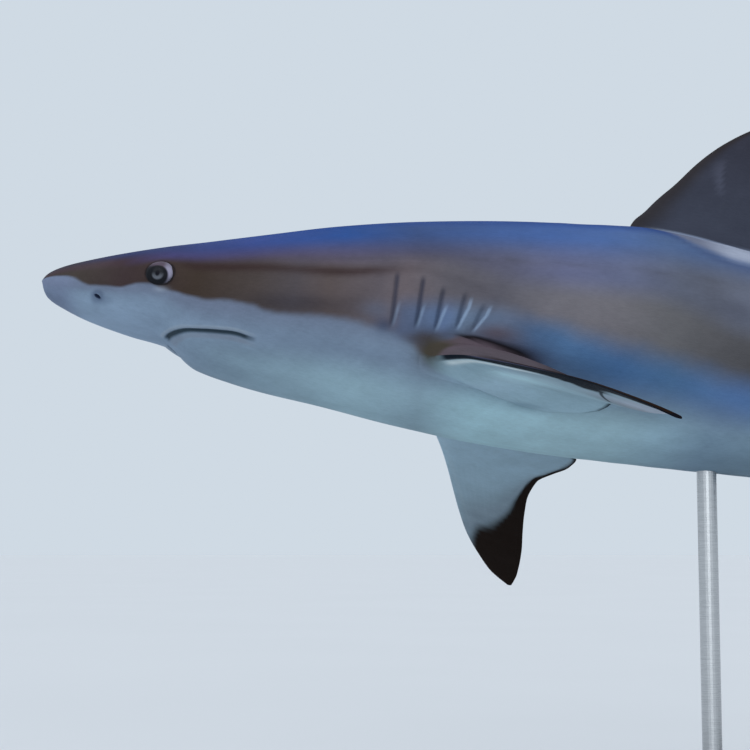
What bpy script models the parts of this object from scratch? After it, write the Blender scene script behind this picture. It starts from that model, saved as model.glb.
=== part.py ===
"""Life-size display model of a blacktip shark (Carcharhinus limbatus), 1.60 m long.

The animal is a soft S-curve held on a plain stand by two short rods. It is built in
its own straight frame, in fractions of its total length: x runs from the snout back to
the tail, y to the animal's right, z up. Every point is then bent along the spine and
scaled, and an empty poses the whole animal over the stand.
"""
import math

import bmesh
import bpy
import numpy as np
from mathutils import Matrix, Vector

# ---------------------------------------------------------------- driving dimensions
TOTAL_LENGTH = 1.60            # metres, snout tip to the end of the stretched tail
GAP = 0.00035                  # clearance left between neighbouring pieces

POSE_AT = (-0.665, -0.045, 0.460)      # the snout tip over the stand
POSE_PITCH = 6.8               # degrees, head up
POSE_BANK = -10.1              # degrees, back leaning to the animal's right

BASE_LENGTH, BASE_WIDTH, BASE_THICKNESS = 0.80, 0.38, 0.020
BASE_EDGE = 0.003
ROD_RADIUS = 0.008
ROD_FOOT = 0.003
ROD_FRONT_S, ROD_REAR_S = 0.345, 0.570     # stations the rods meet the belly at

ROUND = 32                     # points around the body
HEAD_END, TRUNK_END, TAIL_END = 0.197, 0.595, 0.735

# station: half width, height of the back, height of the belly (all over total length)
BODY = (
    (0.000, 0.0000, 0.0000, 0.0000),
    (0.004, 0.0090, 0.0037, -0.0082),
    (0.012, 0.0165, 0.0076, -0.0121),
    (0.025, 0.0245, 0.0118, -0.0163),
    (0.045, 0.0325, 0.0177, -0.0206),
    (0.065, 0.0385, 0.0230, -0.0240),
    (0.085, 0.0425, 0.0284, -0.0360),
    (0.115, 0.0470, 0.0362, -0.0430),
    (0.150, 0.0515, 0.0449, -0.0473),
    (0.190, 0.0560, 0.0523, -0.0529),
    (0.235, 0.0600, 0.0580, -0.0571),
    (0.275, 0.0618, 0.0615, -0.0584),
    (0.304, 0.0622, 0.0638, -0.0580),
    (0.335, 0.0618, 0.0618, -0.0572),
    (0.370, 0.0605, 0.0582, -0.0556),
    (0.420, 0.0570, 0.0540, -0.0541),
    (0.490, 0.0475, 0.0475, -0.0495),
    (0.550, 0.0385, 0.0415, -0.0405),
    (0.610, 0.0300, 0.0355, -0.0315),
    (0.670, 0.0225, 0.0297, -0.0220),
    (0.715, 0.0178, 0.0262, -0.0155),
    (0.735, 0.0160, 0.0250, -0.0135),
)
# station: heading of the spine in radians, turning to the animal's right
SPINE = ((0.00, 0.000), (0.22, 0.000), (0.37, 0.128), (0.50, 0.225), (0.60, 0.265),
         (0.735, 0.200), (0.86, 0.060), (1.00, -0.080))
# share of the way along the upper tail lobe: its back edge (x, z), its under edge (x, z),
# and its half thickness
UPPER_LOBE = (
    (0.00, 0.7350, 0.0250, 0.7350, -0.0135, 0.0160),
    (0.08, 0.7520, 0.0335, 0.7580, -0.0150, 0.0120),
    (0.18, 0.7720, 0.0470, 0.7850, -0.0040, 0.0088),
    (0.30, 0.7960, 0.0640, 0.8120, 0.0165, 0.0068),
    (0.45, 0.8280, 0.0870, 0.8430, 0.0475, 0.0052),
    (0.60, 0.8620, 0.1100, 0.8720, 0.0745, 0.0042),
    (0.75, 0.8950, 0.1315, 0.8970, 0.0985, 0.0034),
    (0.83, 0.9120, 0.1420, 0.9095, 0.1115, 0.0030),
    (0.87, 0.9210, 0.1475, 0.9165, 0.1215, 0.0026),
    (0.91, 0.9310, 0.1535, 0.9350, 0.1240, 0.0022),
    (0.96, 0.9430, 0.1605, 0.9485, 0.1370, 0.0016),
    (1.00, 0.9530, 0.1665, 0.9548, 0.1590, 0.0009),
)
# each fin: rows from the buried root to the tip, front edge (a, b) then rear edge (a, b),
# a along the fin's base and b away from it
PECTORAL = (
    (-0.002, -0.012, 0.061, -0.014), (0.001, 0.000, 0.072, -0.004),
    (0.006, 0.009, 0.0925, 0.0015), (0.0105, 0.0175, 0.0905, 0.0120),
    (0.0150, 0.0270, 0.0835, 0.0245), (0.0195, 0.0380, 0.0775, 0.0375),
    (0.0260, 0.0565, 0.0765, 0.0540), (0.0325, 0.0765, 0.0795, 0.0765),
    (0.0400, 0.0985, 0.0840, 0.0985), (0.0495, 0.1220, 0.0890, 0.1200),
    (0.0620, 0.1430, 0.0925, 0.1405), (0.0760, 0.1600, 0.0942, 0.1560),
    (0.0900, 0.1680, 0.0938, 0.1670),
)
FIRST_DORSAL = (
    (0.3020, 0.0560, 0.3960, 0.0460), (0.3045, 0.0690, 0.4110, 0.0575),
    (0.3075, 0.0765, 0.4330, 0.0600), (0.3125, 0.0845, 0.4220, 0.0680),
    (0.3223, 0.0955, 0.4080, 0.0830), (0.3334, 0.1090, 0.4005, 0.1005),
    (0.3468, 0.1222, 0.3975, 0.1180), (0.3613, 0.1330, 0.3985, 0.1345),
    (0.3760, 0.1415, 0.4015, 0.1460), (0.3990, 0.1535, 0.4040, 0.1550),
)
SECOND_DORSAL = (
    (0.6230, 0.0240, 0.6610, 0.0190), (0.6265, 0.0345, 0.6750, 0.0315),
    (0.6330, 0.0410, 0.7000, 0.0330), (0.6410, 0.0480, 0.6830, 0.0400),
    (0.6500, 0.0550, 0.6720, 0.0490), (0.6590, 0.0605, 0.6680, 0.0580),
    (0.6650, 0.0630, 0.6672, 0.0632),
)
ANAL = (
    (0.6100, -0.0200, 0.6550, -0.0130), (0.6135, -0.0330, 0.6670, -0.0245),
    (0.6210, -0.0410, 0.6920, -0.0270), (0.6300, -0.0490, 0.6760, -0.0375),
    (0.6400, -0.0570, 0.6640, -0.0470), (0.6500, -0.0650, 0.6600, -0.0580),
    (0.6585, -0.0705, 0.6612, -0.0700),
)
PELVIC = (
    (0.0010, -0.0100, 0.0520, -0.0120), (0.0020, 0.0010, 0.0660, -0.0010),
    (0.0090, 0.0085, 0.0840, 0.0040), (0.0170, 0.0175, 0.0765, 0.0135),
    (0.0250, 0.0265, 0.0685, 0.0240), (0.0335, 0.0355, 0.0600, 0.0350),
    (0.0450, 0.0455, 0.0495, 0.0452),
)
LOWER_LOBE = (
    (0.7480, -0.0075, 0.8060, 0.0180), (0.7485, -0.0190, 0.8150, 0.0070),
    (0.7570, -0.0330, 0.8100, -0.0110), (0.7680, -0.0500, 0.8080, -0.0310),
    (0.7800, -0.0670, 0.8095, -0.0530), (0.7930, -0.0840, 0.8135, -0.0750),
    (0.8070, -0.1010, 0.8195, -0.0960), (0.8225, -0.1165, 0.8262, -0.1160),
)
# fins off the midline: where the base starts, its direction, and the way out to the tip
PECTORAL_ROOT = (0.2014, 0.0533, -0.0285)
PECTORAL_BASE = (0.980, 0.0166, -0.1986)
PECTORAL_SPAN = (-0.0712, 0.9600, -0.2709)
PELVIC_ROOT = (0.4780, 0.0215, -0.0440)
PELVIC_BASE = (0.9830, -0.0700, 0.1700)
PELVIC_SPAN = (0.0900, 0.8500, -0.5190)

# along the pectoral fin's span: how much thicker its upper side is than its under side
PECTORAL_SHOULDER = ((0.00, 1.80), (0.10, 2.00), (0.20, 1.60), (0.30, 0.95), (0.40, 0.45),
                     (0.55, 0.10), (0.70, 0.00), (1.00, 0.00))
# the left pectoral fin is flexed. Along its span: how far its rear hangs below the front
# edge, how far the section stands off the flat, and how much its rear edge is tucked in
LEFT_LEAN = ((0.00, 0.000), (0.05, 0.130), (0.11, 0.085), (0.16, 0.010), (0.20, -0.025),
             (0.27, -0.025), (0.37, 0.010), (0.55, 0.070), (0.80, 0.110), (1.00, 0.100))
LEFT_BOW = ((0.00, -0.0041), (0.10, -0.0032), (0.20, -0.0012), (0.30, 0.0005), (0.40, 0.0017),
            (0.50, 0.0024), (0.70, 0.0034), (0.82, 0.0037), (0.92, 0.0022), (1.00, 0.0))
LEFT_TUCK = ((0.00, 1.00), (0.05, 0.94), (0.12, 0.925), (0.25, 0.98), (0.40, 1.00), (1.00, 1.00))
LEFT_SWEEP = 0.034
EYE_AT = (0.0653, 0.0362, -0.0017)
EYE_RADII = (0.0120, 0.0070, 0.0110)       # metres: along, across, up
EYE_TURN = 13.0                # degrees the eye faces forward, square to the tapering head
JAW_FRONT, JAW_REAR = 0.060, 0.128
JAW_LINE_FRONT, JAW_LINE_REAR = -0.0262, -0.0302


# ---------------------------------------------------------------- curves and sections
def through(table, column, x):
    """Smooth monotone curve through one column of a table of stations."""
    xs = np.array([row[0] for row in table])
    ys = np.array([row[column] for row in table])
    x = np.asarray(x, dtype=float)
    step = np.diff(xs)
    slope = np.diff(ys) / step
    tangent = np.zeros_like(ys)
    same_way = slope[:-1] * slope[1:] > 0
    total = np.where(same_way, slope[:-1] + slope[1:], 1.0)
    tangent[1:-1] = np.where(same_way, 2 * slope[:-1] * slope[1:] / total, 0.0)
    tangent[0] = 1.5 * slope[0] - 0.5 * tangent[1]
    tangent[-1] = 1.5 * slope[-1] - 0.5 * tangent[-2]
    i = np.clip(np.searchsorted(xs, x) - 1, 0, len(step) - 1)
    t = np.clip((x - xs[i]) / step[i], 0, 1)
    return ((1 + 2 * t) * (1 - t) ** 2 * ys[i] + t * (1 - t) ** 2 * step[i] * tangent[i]
            + t * t * (3 - 2 * t) * ys[i + 1] + t * t * (t - 1) * step[i] * tangent[i + 1])


SPINE_S = np.linspace(0.0, 1.0, 1001)
SPINE_HEADING = through(SPINE, 1, SPINE_S)
_mid = (SPINE_HEADING[1:] + SPINE_HEADING[:-1]) / 2
SPINE_X = np.concatenate([[0], np.cumsum(np.cos(_mid) * np.diff(SPINE_S))])
SPINE_Y = np.concatenate([[0], np.cumsum(np.sin(_mid) * np.diff(SPINE_S))])


def bent(point):
    """A point of the straight animal, bent along the spine, in metres."""
    s, y, z = point
    turn = np.interp(s, SPINE_S, SPINE_HEADING)
    return Vector((
        float(np.interp(s, SPINE_S, SPINE_X) - y * np.sin(turn)),
        float(np.interp(s, SPINE_S, SPINE_Y) + y * np.cos(turn)),
        float(z))) * TOTAL_LENGTH


def power(value, exponent):
    return np.sign(value) * np.abs(value) ** exponent


def section(s, grow=0.0):
    """One upright section of the body at station s, from the belly around to the belly."""
    half = through(BODY, 1, s) + grow
    back = through(BODY, 2, s) + grow
    belly = through(BODY, 3, s) - grow
    middle = 0.45 * back + 0.55 * belly
    flat = 2.0 + 0.5 * np.clip((0.10 - s) / 0.05, 0, 1)      # the snout is flat below
    ring = []
    for k in range(ROUND):
        a = -math.pi / 2 + 2 * math.pi * k / ROUND
        up, out = math.sin(a), math.cos(a)
        if up < 0:
            y = half * power(out, 2 / flat)
            z = middle + (middle - belly) * power(up, 2 / flat)
        else:
            y = half * out
            z = middle + (back - middle) * up
        ring.append((s, float(y), float(z)))
    return ring


def lobe_section(v, grow=0.0):
    """One slanting section of the upper tail lobe, from its under edge around."""
    bx, bz, ux, uz, half = (float(through(UPPER_LOBE, c, v)) for c in range(1, 6))
    back, under = np.array((bx, bz)), np.array((ux, uz))
    reach = (back - under) / np.linalg.norm(back - under)
    back, under = back + reach * grow, under - reach * grow
    ring = []
    for k in range(ROUND):
        a = -math.pi / 2 + 2 * math.pi * k / ROUND
        up = math.sin(a)
        q = 0.45 + (0.55 if up > 0 else 0.45) * up
        web = min(1.0, v / 0.15)
        thick = 1 - web * 0.62 * (1 - math.exp(-(((q - 0.72) / 0.30) ** 2)))
        x, z = under + (back - under) * q
        ring.append((float(x), float((half * thick + grow) * math.cos(a)), float(z)))
    return ring


def fin_section(row, half, place, lean=0.0, bow=0.0, shoulder=0.0):
    """One thin section of a fin, from its front edge over one side, back under the other."""
    fx, fz, rx, rz = row
    count = 7
    sides = ([], [])
    for k in range(1, count + 1):
        u = (k / count) ** 1.5
        shape = 1.9 * math.sqrt(u) * (1 - u) ** 0.85
        thick = max(half * min(shape, 1.0), 0.00045 / TOTAL_LENGTH)
        hang = bow - lean * (rx - fx) * u
        for side, sign in zip(sides, (1 + shoulder, -1)):
            side.append((fx + (rx - fx) * u, fz + (rz - fz) * u, hang + sign * thick))
    points = [(fx, fz, bow)] + sides[0] + sides[1][::-1]
    return [place(a, b, h) for a, b, h in points]


# ---------------------------------------------------------------- building pieces
for old in list(bpy.data.objects):
    bpy.data.objects.remove(old, do_unlink=True)

model = bpy.data.collections.new("blacktip_shark")
cutters = bpy.data.collections.new("cutters")
bpy.context.scene.collection.children.link(model)
bpy.context.scene.collection.children.link(cutters)

pose = bpy.data.objects.new("shark_pose", None)
pose.location = POSE_AT
pose.rotation_euler = (math.radians(POSE_BANK), math.radians(POSE_PITCH), 0.0)
model.objects.link(pose)
POSE_MATRIX = Matrix.LocRotScale(Vector(POSE_AT), pose.rotation_euler, None)


def material(name, colour, roughness, metallic=0.0):
    mat = bpy.data.materials.new(name)
    mat.use_nodes = True
    shader = mat.node_tree.nodes["Principled BSDF"]
    shader.inputs["Base Color"].default_value = (*colour, 1.0)
    shader.inputs["Roughness"].default_value = roughness
    shader.inputs["Metallic"].default_value = metallic
    return mat


def as_object(name, bm, mat=None, parent=pose, smooth=True):
    bmesh.ops.recalc_face_normals(bm, faces=bm.faces)
    mesh = bpy.data.meshes.new(name)
    bm.to_mesh(mesh)
    bm.free()
    if smooth:
        mesh.shade_smooth()
        mesh.set_sharp_from_angle(angle=math.radians(40))
    obj = bpy.data.objects.new(name, mesh)
    obj.parent = parent
    if mat is None:
        cutters.objects.link(obj)
        obj.hide_render = True
        obj.display_type = "WIRE"
    else:
        mesh.materials.append(mat)
        model.objects.link(obj)
    return obj


def loft(rings, tip=None):
    """A closed skin over rings of equal count; the first ring may run to a tip point."""
    bm = bmesh.new()
    rows = [[bm.verts.new(p) for p in ring] for ring in rings]
    for lower, upper in zip(rows, rows[1:]):
        for k in range(len(lower)):
            n = (k + 1) % len(lower)
            bm.faces.new((lower[k], lower[n], upper[n], upper[k]))
    if tip is None:
        bm.faces.new(rows[0])
    else:
        point = bm.verts.new(tip)
        for k in range(len(rows[0])):
            bm.faces.new((rows[0][k], rows[0][(k + 1) % len(rows[0])], point))
    bm.faces.new(rows[-1])
    return bm


def body_loft(start, end, count, grow=0.0):
    stations = [start + (end - start) * k / count for k in range(count + 1)]
    if start == 0:      # rings crowd towards the snout tip
        stations = [0.0012 + (end - 0.0012) * (k / count) ** 1.45 for k in range(count + 1)]
    rings = [[bent(p) for p in section(s, grow)] for s in stations]
    return loft(rings, bent((-grow, 0, -0.0008)) if start == 0 else None)


def cut(obj, cutter, how="DIFFERENCE"):
    mod = obj.modifiers.new(how.lower() + "_" + cutter.name, "BOOLEAN")
    mod.operation = how
    mod.solver = "EXACT"
    mod.object = cutter


def box(name, low, high, mat=None, parent=pose, bevel=0.0):
    bm = bmesh.new()
    bmesh.ops.create_cube(bm, size=1.0)
    size = Vector(high) - Vector(low)
    bmesh.ops.scale(bm, vec=size, verts=bm.verts)
    bmesh.ops.translate(bm, vec=(Vector(high) + Vector(low)) / 2, verts=bm.verts)
    obj = as_object(name, bm, mat, parent, smooth=False)
    if bevel:
        edge = obj.modifiers.new("edge", "BEVEL")
        edge.width = bevel
        edge.segments = 2
    return obj


CLEAR = GAP / TOTAL_LENGTH
back_skin = material("back_skin", (0.105, 0.098, 0.105), 0.42)
jaw_skin = material("jaw_skin", (0.42, 0.47, 0.50), 0.42)
trunk_skin = material("trunk_skin", (0.130, 0.125, 0.135), 0.42)
tail_skin = material("tail_skin", (0.120, 0.118, 0.130), 0.42)

# the head, with the lower jaw parted from it along the mouth line
head = as_object("head", body_loft(0.0, HEAD_END, 17), back_skin)
jaw = as_object("lower_jaw", body_loft(0.0, HEAD_END, 17), jaw_skin)


def jaw_block(name, clearance):
    bm = bmesh.new()
    bmesh.ops.create_cube(bm, size=1.0)
    for v in bm.verts:
        at_rear, on_top = v.co.x > 0, v.co.z > 0
        x = (JAW_REAR if at_rear else JAW_FRONT) * TOTAL_LENGTH
        x += clearance if at_rear else -clearance
        line = (JAW_LINE_REAR if at_rear else JAW_LINE_FRONT) * TOTAL_LENGTH
        v.co = (x, v.co.y * 0.2, line + clearance if on_top else -0.13)
    return as_object(name, bm, smooth=False)


cut(jaw, jaw_block("jaw_block", 0.0), "INTERSECT")
cut(head, jaw_block("jaw_block_clear", GAP))


# the eyes, set in close sockets
def ellipsoid(name, side, grow, mat=None):
    bm = bmesh.new()
    bmesh.ops.create_uvsphere(bm, u_segments=16, v_segments=10, radius=1.0)
    bmesh.ops.scale(bm, vec=[r + grow for r in EYE_RADII], verts=bm.verts)
    x, y, z = EYE_AT
    bmesh.ops.rotate(bm, matrix=Matrix.Rotation(math.radians(side * EYE_TURN), 3, "Z"),
                     verts=bm.verts)
    bmesh.ops.translate(bm, vec=bent((x, side * y, z)), verts=bm.verts)
    return as_object(name, bm, mat)


for side, word in ((-1, "left"), (1, "right")):
    ellipsoid("eye_" + word, side, 0.0,
              material("eye_surface_" + word, (0.035, 0.037, 0.042), 0.08))
    cut(head, ellipsoid("socket_" + word, side, GAP))

# trunk and tail, each closed by a plane section
trunk = as_object("trunk", body_loft(HEAD_END + CLEAR, TRUNK_END, 22), trunk_skin)
tail = as_object("tail", body_loft(TRUNK_END + CLEAR, TAIL_END, 8), tail_skin)
body_clear = as_object("body_clearance", body_loft(0.0, TAIL_END, 60, CLEAR))

# the tail fin: an upper lobe that carries on from the tail, and a lower lobe under it
lobe_steps = [0.012, 0.05, 0.10, 0.15, 0.20, 0.26, 0.32, 0.42, 0.52, 0.62, 0.72, 0.80,
              0.84, 0.87, 0.90, 0.93, 0.965, 1.0]


def upper_lobe(grow=0.0):
    return loft([[bent(p) for p in lobe_section(v, grow)] for v in lobe_steps])


tail_fin = material("tail_fin_skin", (0.115, 0.112, 0.125), 0.42)
as_object("caudal_fin_upper", upper_lobe(), tail_fin)
lobe_clear = as_object("upper_lobe_clearance", upper_lobe(2 * CLEAR))


def in_midplane(a, b, h):
    return bent((a, h, b))


def on_side(root, base, span, side, sweep=0.0):
    root, base = Vector(root), Vector(base).normalized()
    span = Vector(span)
    span = (span - base * span.dot(base)).normalized()
    out = base.cross(span)

    def place(a, b, h):
        p = root + base * (a + sweep * max(b, 0.0)) + span * b + out * h
        return bent((p.x, side * p.y, p.z))
    return place


def fin(name, rows, root_half, tip_half, place, mat, clearance, buried=1.0, flexed=False,
        shouldered=False):
    rings = []
    for k, row in enumerate(rows):
        share = k / (len(rows) - 1)
        half = tip_half + (root_half - tip_half) * (1 - share) ** 1.4
        half *= 1.0 if k else buried
        lean = bow = shoulder = 0.0
        if shouldered:
            shoulder = float(through(PECTORAL_SHOULDER, 1, share))
        if flexed:
            lean, bow = (float(through(t, 1, share)) for t in (LEFT_LEAN, LEFT_BOW))
            row = (row[0], row[1], row[2] * float(through(LEFT_TUCK, 1, share)), row[3])
        rings.append(fin_section(row, half, place, lean, bow, shoulder))
    obj = as_object(name, loft(rings), mat)
    cut(obj, clearance)
    return obj


dorsal_skin = material("dorsal_fin_skin", (0.052, 0.056, 0.070), 0.42)
fin("first_dorsal_fin", FIRST_DORSAL, 0.0062, 0.0010, in_midplane, dorsal_skin, body_clear)
fin("second_dorsal_fin", SECOND_DORSAL, 0.0034, 0.0006, in_midplane,
    material("second_dorsal_skin", (0.085, 0.085, 0.095), 0.42), body_clear)
fin("anal_fin", ANAL, 0.0034, 0.0006, in_midplane,
    material("anal_fin_skin", (0.36, 0.40, 0.43), 0.42), body_clear)
fin("caudal_fin_lower", LOWER_LOBE, 0.0048, 0.0008, in_midplane,
    material("lower_lobe_skin", (0.100, 0.100, 0.112), 0.42), lobe_clear, 0.3)
for side, word in ((-1, "left"), (1, "right")):
    fin("pectoral_fin_" + word, PECTORAL, 0.0064, 0.0008,
        on_side(PECTORAL_ROOT, PECTORAL_BASE, PECTORAL_SPAN, side,
                LEFT_SWEEP if side < 0 else 0.0),
        material("pectoral_skin_" + word, (0.16, 0.135, 0.135), 0.42), body_clear,
        flexed=side < 0, shouldered=True)
    fin("pelvic_fin_" + word, PELVIC, 0.0034, 0.0007,
        on_side(PELVIC_ROOT, PELVIC_BASE, PELVIC_SPAN, side),
        material("pelvic_skin_" + word, (0.33, 0.36, 0.39), 0.42), body_clear)

# the stand: a flat base on the floor and two upright rods with their tops cut to the belly
box("stand_base", (-BASE_LENGTH / 2, -BASE_WIDTH / 2, 0.0),
    (BASE_LENGTH / 2, BASE_WIDTH / 2, BASE_THICKNESS),
    material("stand_base_paint", (0.055, 0.056, 0.058), 0.45), None, BASE_EDGE)
for word, station in (("front", ROD_FRONT_S), ("rear", ROD_REAR_S)):
    middle = float(0.45 * through(BODY, 2, station) + 0.55 * through(BODY, 3, station))
    top = POSE_MATRIX @ bent((station, 0.0, middle))
    bm = bmesh.new()
    height = top.z - BASE_THICKNESS - GAP
    bmesh.ops.create_cone(bm, cap_ends=True, segments=24, radius1=ROD_RADIUS,
                          radius2=ROD_RADIUS, depth=height)
    rod = as_object("stand_rod_" + word, bm,
                    material("stand_steel_" + word, (0.55, 0.56, 0.57), 0.28, 1.0), None)
    rod.location = (top.x, top.y, BASE_THICKNESS + GAP + height / 2)
    cut(rod, body_clear)
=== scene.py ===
"""Looks of the blacktip shark: one continuous skin, detailed eyes, the stand's finish,
a pale floor, soft studio light and the camera.

The animal's straight frame is in fractions of its total length: x runs from the snout
back to the tail, y to the animal's right, z up. The same sizes as in the solids are
bent along the spine and posed over the stand.
"""
import math

import bmesh
import bpy
import numpy as np
from mathutils import Matrix, Vector


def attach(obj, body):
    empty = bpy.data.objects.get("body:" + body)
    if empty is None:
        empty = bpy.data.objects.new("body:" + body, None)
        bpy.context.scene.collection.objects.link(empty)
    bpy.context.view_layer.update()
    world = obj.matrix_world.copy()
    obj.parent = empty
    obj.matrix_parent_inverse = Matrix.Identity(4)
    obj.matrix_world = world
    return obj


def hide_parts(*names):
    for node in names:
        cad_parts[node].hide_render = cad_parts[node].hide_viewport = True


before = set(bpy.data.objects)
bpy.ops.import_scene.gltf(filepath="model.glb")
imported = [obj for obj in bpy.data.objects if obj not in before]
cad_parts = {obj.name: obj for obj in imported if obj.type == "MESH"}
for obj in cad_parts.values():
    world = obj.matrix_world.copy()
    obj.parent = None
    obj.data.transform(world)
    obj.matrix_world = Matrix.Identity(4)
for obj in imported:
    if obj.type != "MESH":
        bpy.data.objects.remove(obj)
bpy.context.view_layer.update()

# ------------------------------------------------------------------ sizes, as in the CAD
TL = 1.60
POSE_AT = (-0.665, -0.045, 0.460)
POSE_PITCH, POSE_BANK = 6.8, -10.1
TAIL_END = 0.735

BODY = (
    (0.000, 0.0000, 0.0000, 0.0000), (0.004, 0.0090, 0.0037, -0.0082),
    (0.012, 0.0165, 0.0076, -0.0121), (0.025, 0.0245, 0.0118, -0.0163),
    (0.045, 0.0325, 0.0177, -0.0206), (0.065, 0.0385, 0.0230, -0.0240),
    (0.085, 0.0425, 0.0284, -0.0360), (0.115, 0.0470, 0.0362, -0.0430),
    (0.150, 0.0515, 0.0449, -0.0473), (0.190, 0.0560, 0.0523, -0.0529),
    (0.235, 0.0600, 0.0580, -0.0571), (0.275, 0.0618, 0.0615, -0.0584),
    (0.304, 0.0622, 0.0638, -0.0580), (0.335, 0.0618, 0.0618, -0.0572),
    (0.370, 0.0605, 0.0582, -0.0556), (0.420, 0.0570, 0.0540, -0.0541),
    (0.490, 0.0475, 0.0475, -0.0495), (0.550, 0.0385, 0.0415, -0.0405),
    (0.610, 0.0300, 0.0355, -0.0315), (0.670, 0.0225, 0.0297, -0.0220),
    (0.715, 0.0178, 0.0262, -0.0155), (0.735, 0.0160, 0.0250, -0.0135),
)
SPINE = ((0.00, 0.000), (0.22, 0.000), (0.37, 0.128), (0.50, 0.225), (0.60, 0.265),
         (0.735, 0.200), (0.86, 0.060), (1.00, -0.080))
UPPER_LOBE = (
    (0.00, 0.7350, 0.0250, 0.7350, -0.0135, 0.0160),
    (0.08, 0.7520, 0.0335, 0.7580, -0.0150, 0.0120),
    (0.18, 0.7720, 0.0470, 0.7850, -0.0040, 0.0088),
    (0.30, 0.7960, 0.0640, 0.8120, 0.0165, 0.0068),
    (0.45, 0.8280, 0.0870, 0.8430, 0.0475, 0.0052),
    (0.60, 0.8620, 0.1100, 0.8720, 0.0745, 0.0042),
    (0.75, 0.8950, 0.1315, 0.8970, 0.0985, 0.0034),
    (0.83, 0.9120, 0.1420, 0.9095, 0.1115, 0.0030),
    (0.87, 0.9210, 0.1475, 0.9165, 0.1215, 0.0026),
    (0.91, 0.9310, 0.1535, 0.9350, 0.1240, 0.0022),
    (0.96, 0.9430, 0.1605, 0.9485, 0.1370, 0.0016),
    (1.00, 0.9530, 0.1665, 0.9548, 0.1590, 0.0009),
)
PECTORAL = (
    (-0.002, -0.012, 0.061, -0.014), (0.001, 0.000, 0.072, -0.004),
    (0.006, 0.009, 0.0925, 0.0015), (0.0105, 0.0175, 0.0905, 0.0120),
    (0.0150, 0.0270, 0.0835, 0.0245), (0.0195, 0.0380, 0.0775, 0.0375),
    (0.0260, 0.0565, 0.0765, 0.0540), (0.0325, 0.0765, 0.0795, 0.0765),
    (0.0400, 0.0985, 0.0840, 0.0985), (0.0495, 0.1220, 0.0890, 0.1200),
    (0.0620, 0.1430, 0.0925, 0.1405), (0.0760, 0.1600, 0.0942, 0.1560),
    (0.0900, 0.1680, 0.0938, 0.1670),
)
FIRST_DORSAL = (
    (0.3020, 0.0560, 0.3960, 0.0460), (0.3045, 0.0690, 0.4110, 0.0575),
    (0.3075, 0.0765, 0.4330, 0.0600), (0.3125, 0.0845, 0.4220, 0.0680),
    (0.3223, 0.0955, 0.4080, 0.0830), (0.3334, 0.1090, 0.4005, 0.1005),
    (0.3468, 0.1222, 0.3975, 0.1180), (0.3613, 0.1330, 0.3985, 0.1345),
    (0.3760, 0.1415, 0.4015, 0.1460), (0.3990, 0.1535, 0.4040, 0.1550),
)
SECOND_DORSAL = (
    (0.6230, 0.0240, 0.6610, 0.0190), (0.6265, 0.0345, 0.6750, 0.0315),
    (0.6330, 0.0410, 0.7000, 0.0330), (0.6410, 0.0480, 0.6830, 0.0400),
    (0.6500, 0.0550, 0.6720, 0.0490), (0.6590, 0.0605, 0.6680, 0.0580),
    (0.6650, 0.0630, 0.6672, 0.0632),
)
ANAL = (
    (0.6100, -0.0200, 0.6550, -0.0130), (0.6135, -0.0330, 0.6670, -0.0245),
    (0.6210, -0.0410, 0.6920, -0.0270), (0.6300, -0.0490, 0.6760, -0.0375),
    (0.6400, -0.0570, 0.6640, -0.0470), (0.6500, -0.0650, 0.6600, -0.0580),
    (0.6585, -0.0705, 0.6612, -0.0700),
)
PELVIC = (
    (0.0010, -0.0100, 0.0520, -0.0120), (0.0020, 0.0010, 0.0660, -0.0010),
    (0.0090, 0.0085, 0.0840, 0.0040), (0.0170, 0.0175, 0.0765, 0.0135),
    (0.0250, 0.0265, 0.0685, 0.0240), (0.0335, 0.0355, 0.0600, 0.0350),
    (0.0450, 0.0455, 0.0495, 0.0452),
)
LOWER_LOBE = (
    (0.7480, -0.0075, 0.8060, 0.0180), (0.7485, -0.0190, 0.8150, 0.0070),
    (0.7570, -0.0330, 0.8100, -0.0110), (0.7680, -0.0500, 0.8080, -0.0310),
    (0.7800, -0.0670, 0.8095, -0.0530), (0.7930, -0.0840, 0.8135, -0.0750),
    (0.8070, -0.1010, 0.8195, -0.0960), (0.8225, -0.1165, 0.8262, -0.1160),
)
PECTORAL_ROOT = (0.2014, 0.0533, -0.0285)
PECTORAL_BASE = (0.980, 0.0166, -0.1986)
PECTORAL_SPAN = (-0.0712, 0.9600, -0.2709)
PELVIC_ROOT = (0.4780, 0.0215, -0.0440)
PELVIC_BASE = (0.9830, -0.0700, 0.1700)
PELVIC_SPAN = (0.0900, 0.8500, -0.5190)
# along the pectoral fin's span: how much thicker its upper side is than its under side
PECTORAL_SHOULDER = ((0.00, 1.80), (0.10, 2.00), (0.20, 1.60), (0.30, 0.95), (0.40, 0.45),
                     (0.55, 0.10), (0.70, 0.00), (1.00, 0.00))
# the left pectoral fin is flexed. Along its span: how far its rear hangs below the front
# edge, how far the section stands off the flat, and how much its rear edge is tucked in
LEFT_LEAN = ((0.00, 0.000), (0.05, 0.130), (0.11, 0.085), (0.16, 0.010), (0.20, -0.025),
             (0.27, -0.025), (0.37, 0.010), (0.55, 0.070), (0.80, 0.110), (1.00, 0.100))
LEFT_BOW = ((0.00, -0.0041), (0.10, -0.0032), (0.20, -0.0012), (0.30, 0.0005), (0.40, 0.0017),
            (0.50, 0.0024), (0.70, 0.0034), (0.82, 0.0037), (0.92, 0.0022), (1.00, 0.0))
LEFT_TUCK = ((0.00, 1.00), (0.05, 0.94), (0.12, 0.925), (0.25, 0.98), (0.40, 1.00), (1.00, 1.00))
LEFT_SWEEP = 0.034
EYE_AT = (0.0653, 0.0362, -0.0017)
EYE_RADII = (0.0120, 0.0070, 0.0110)
EYE_TURN = 13.0

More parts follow.
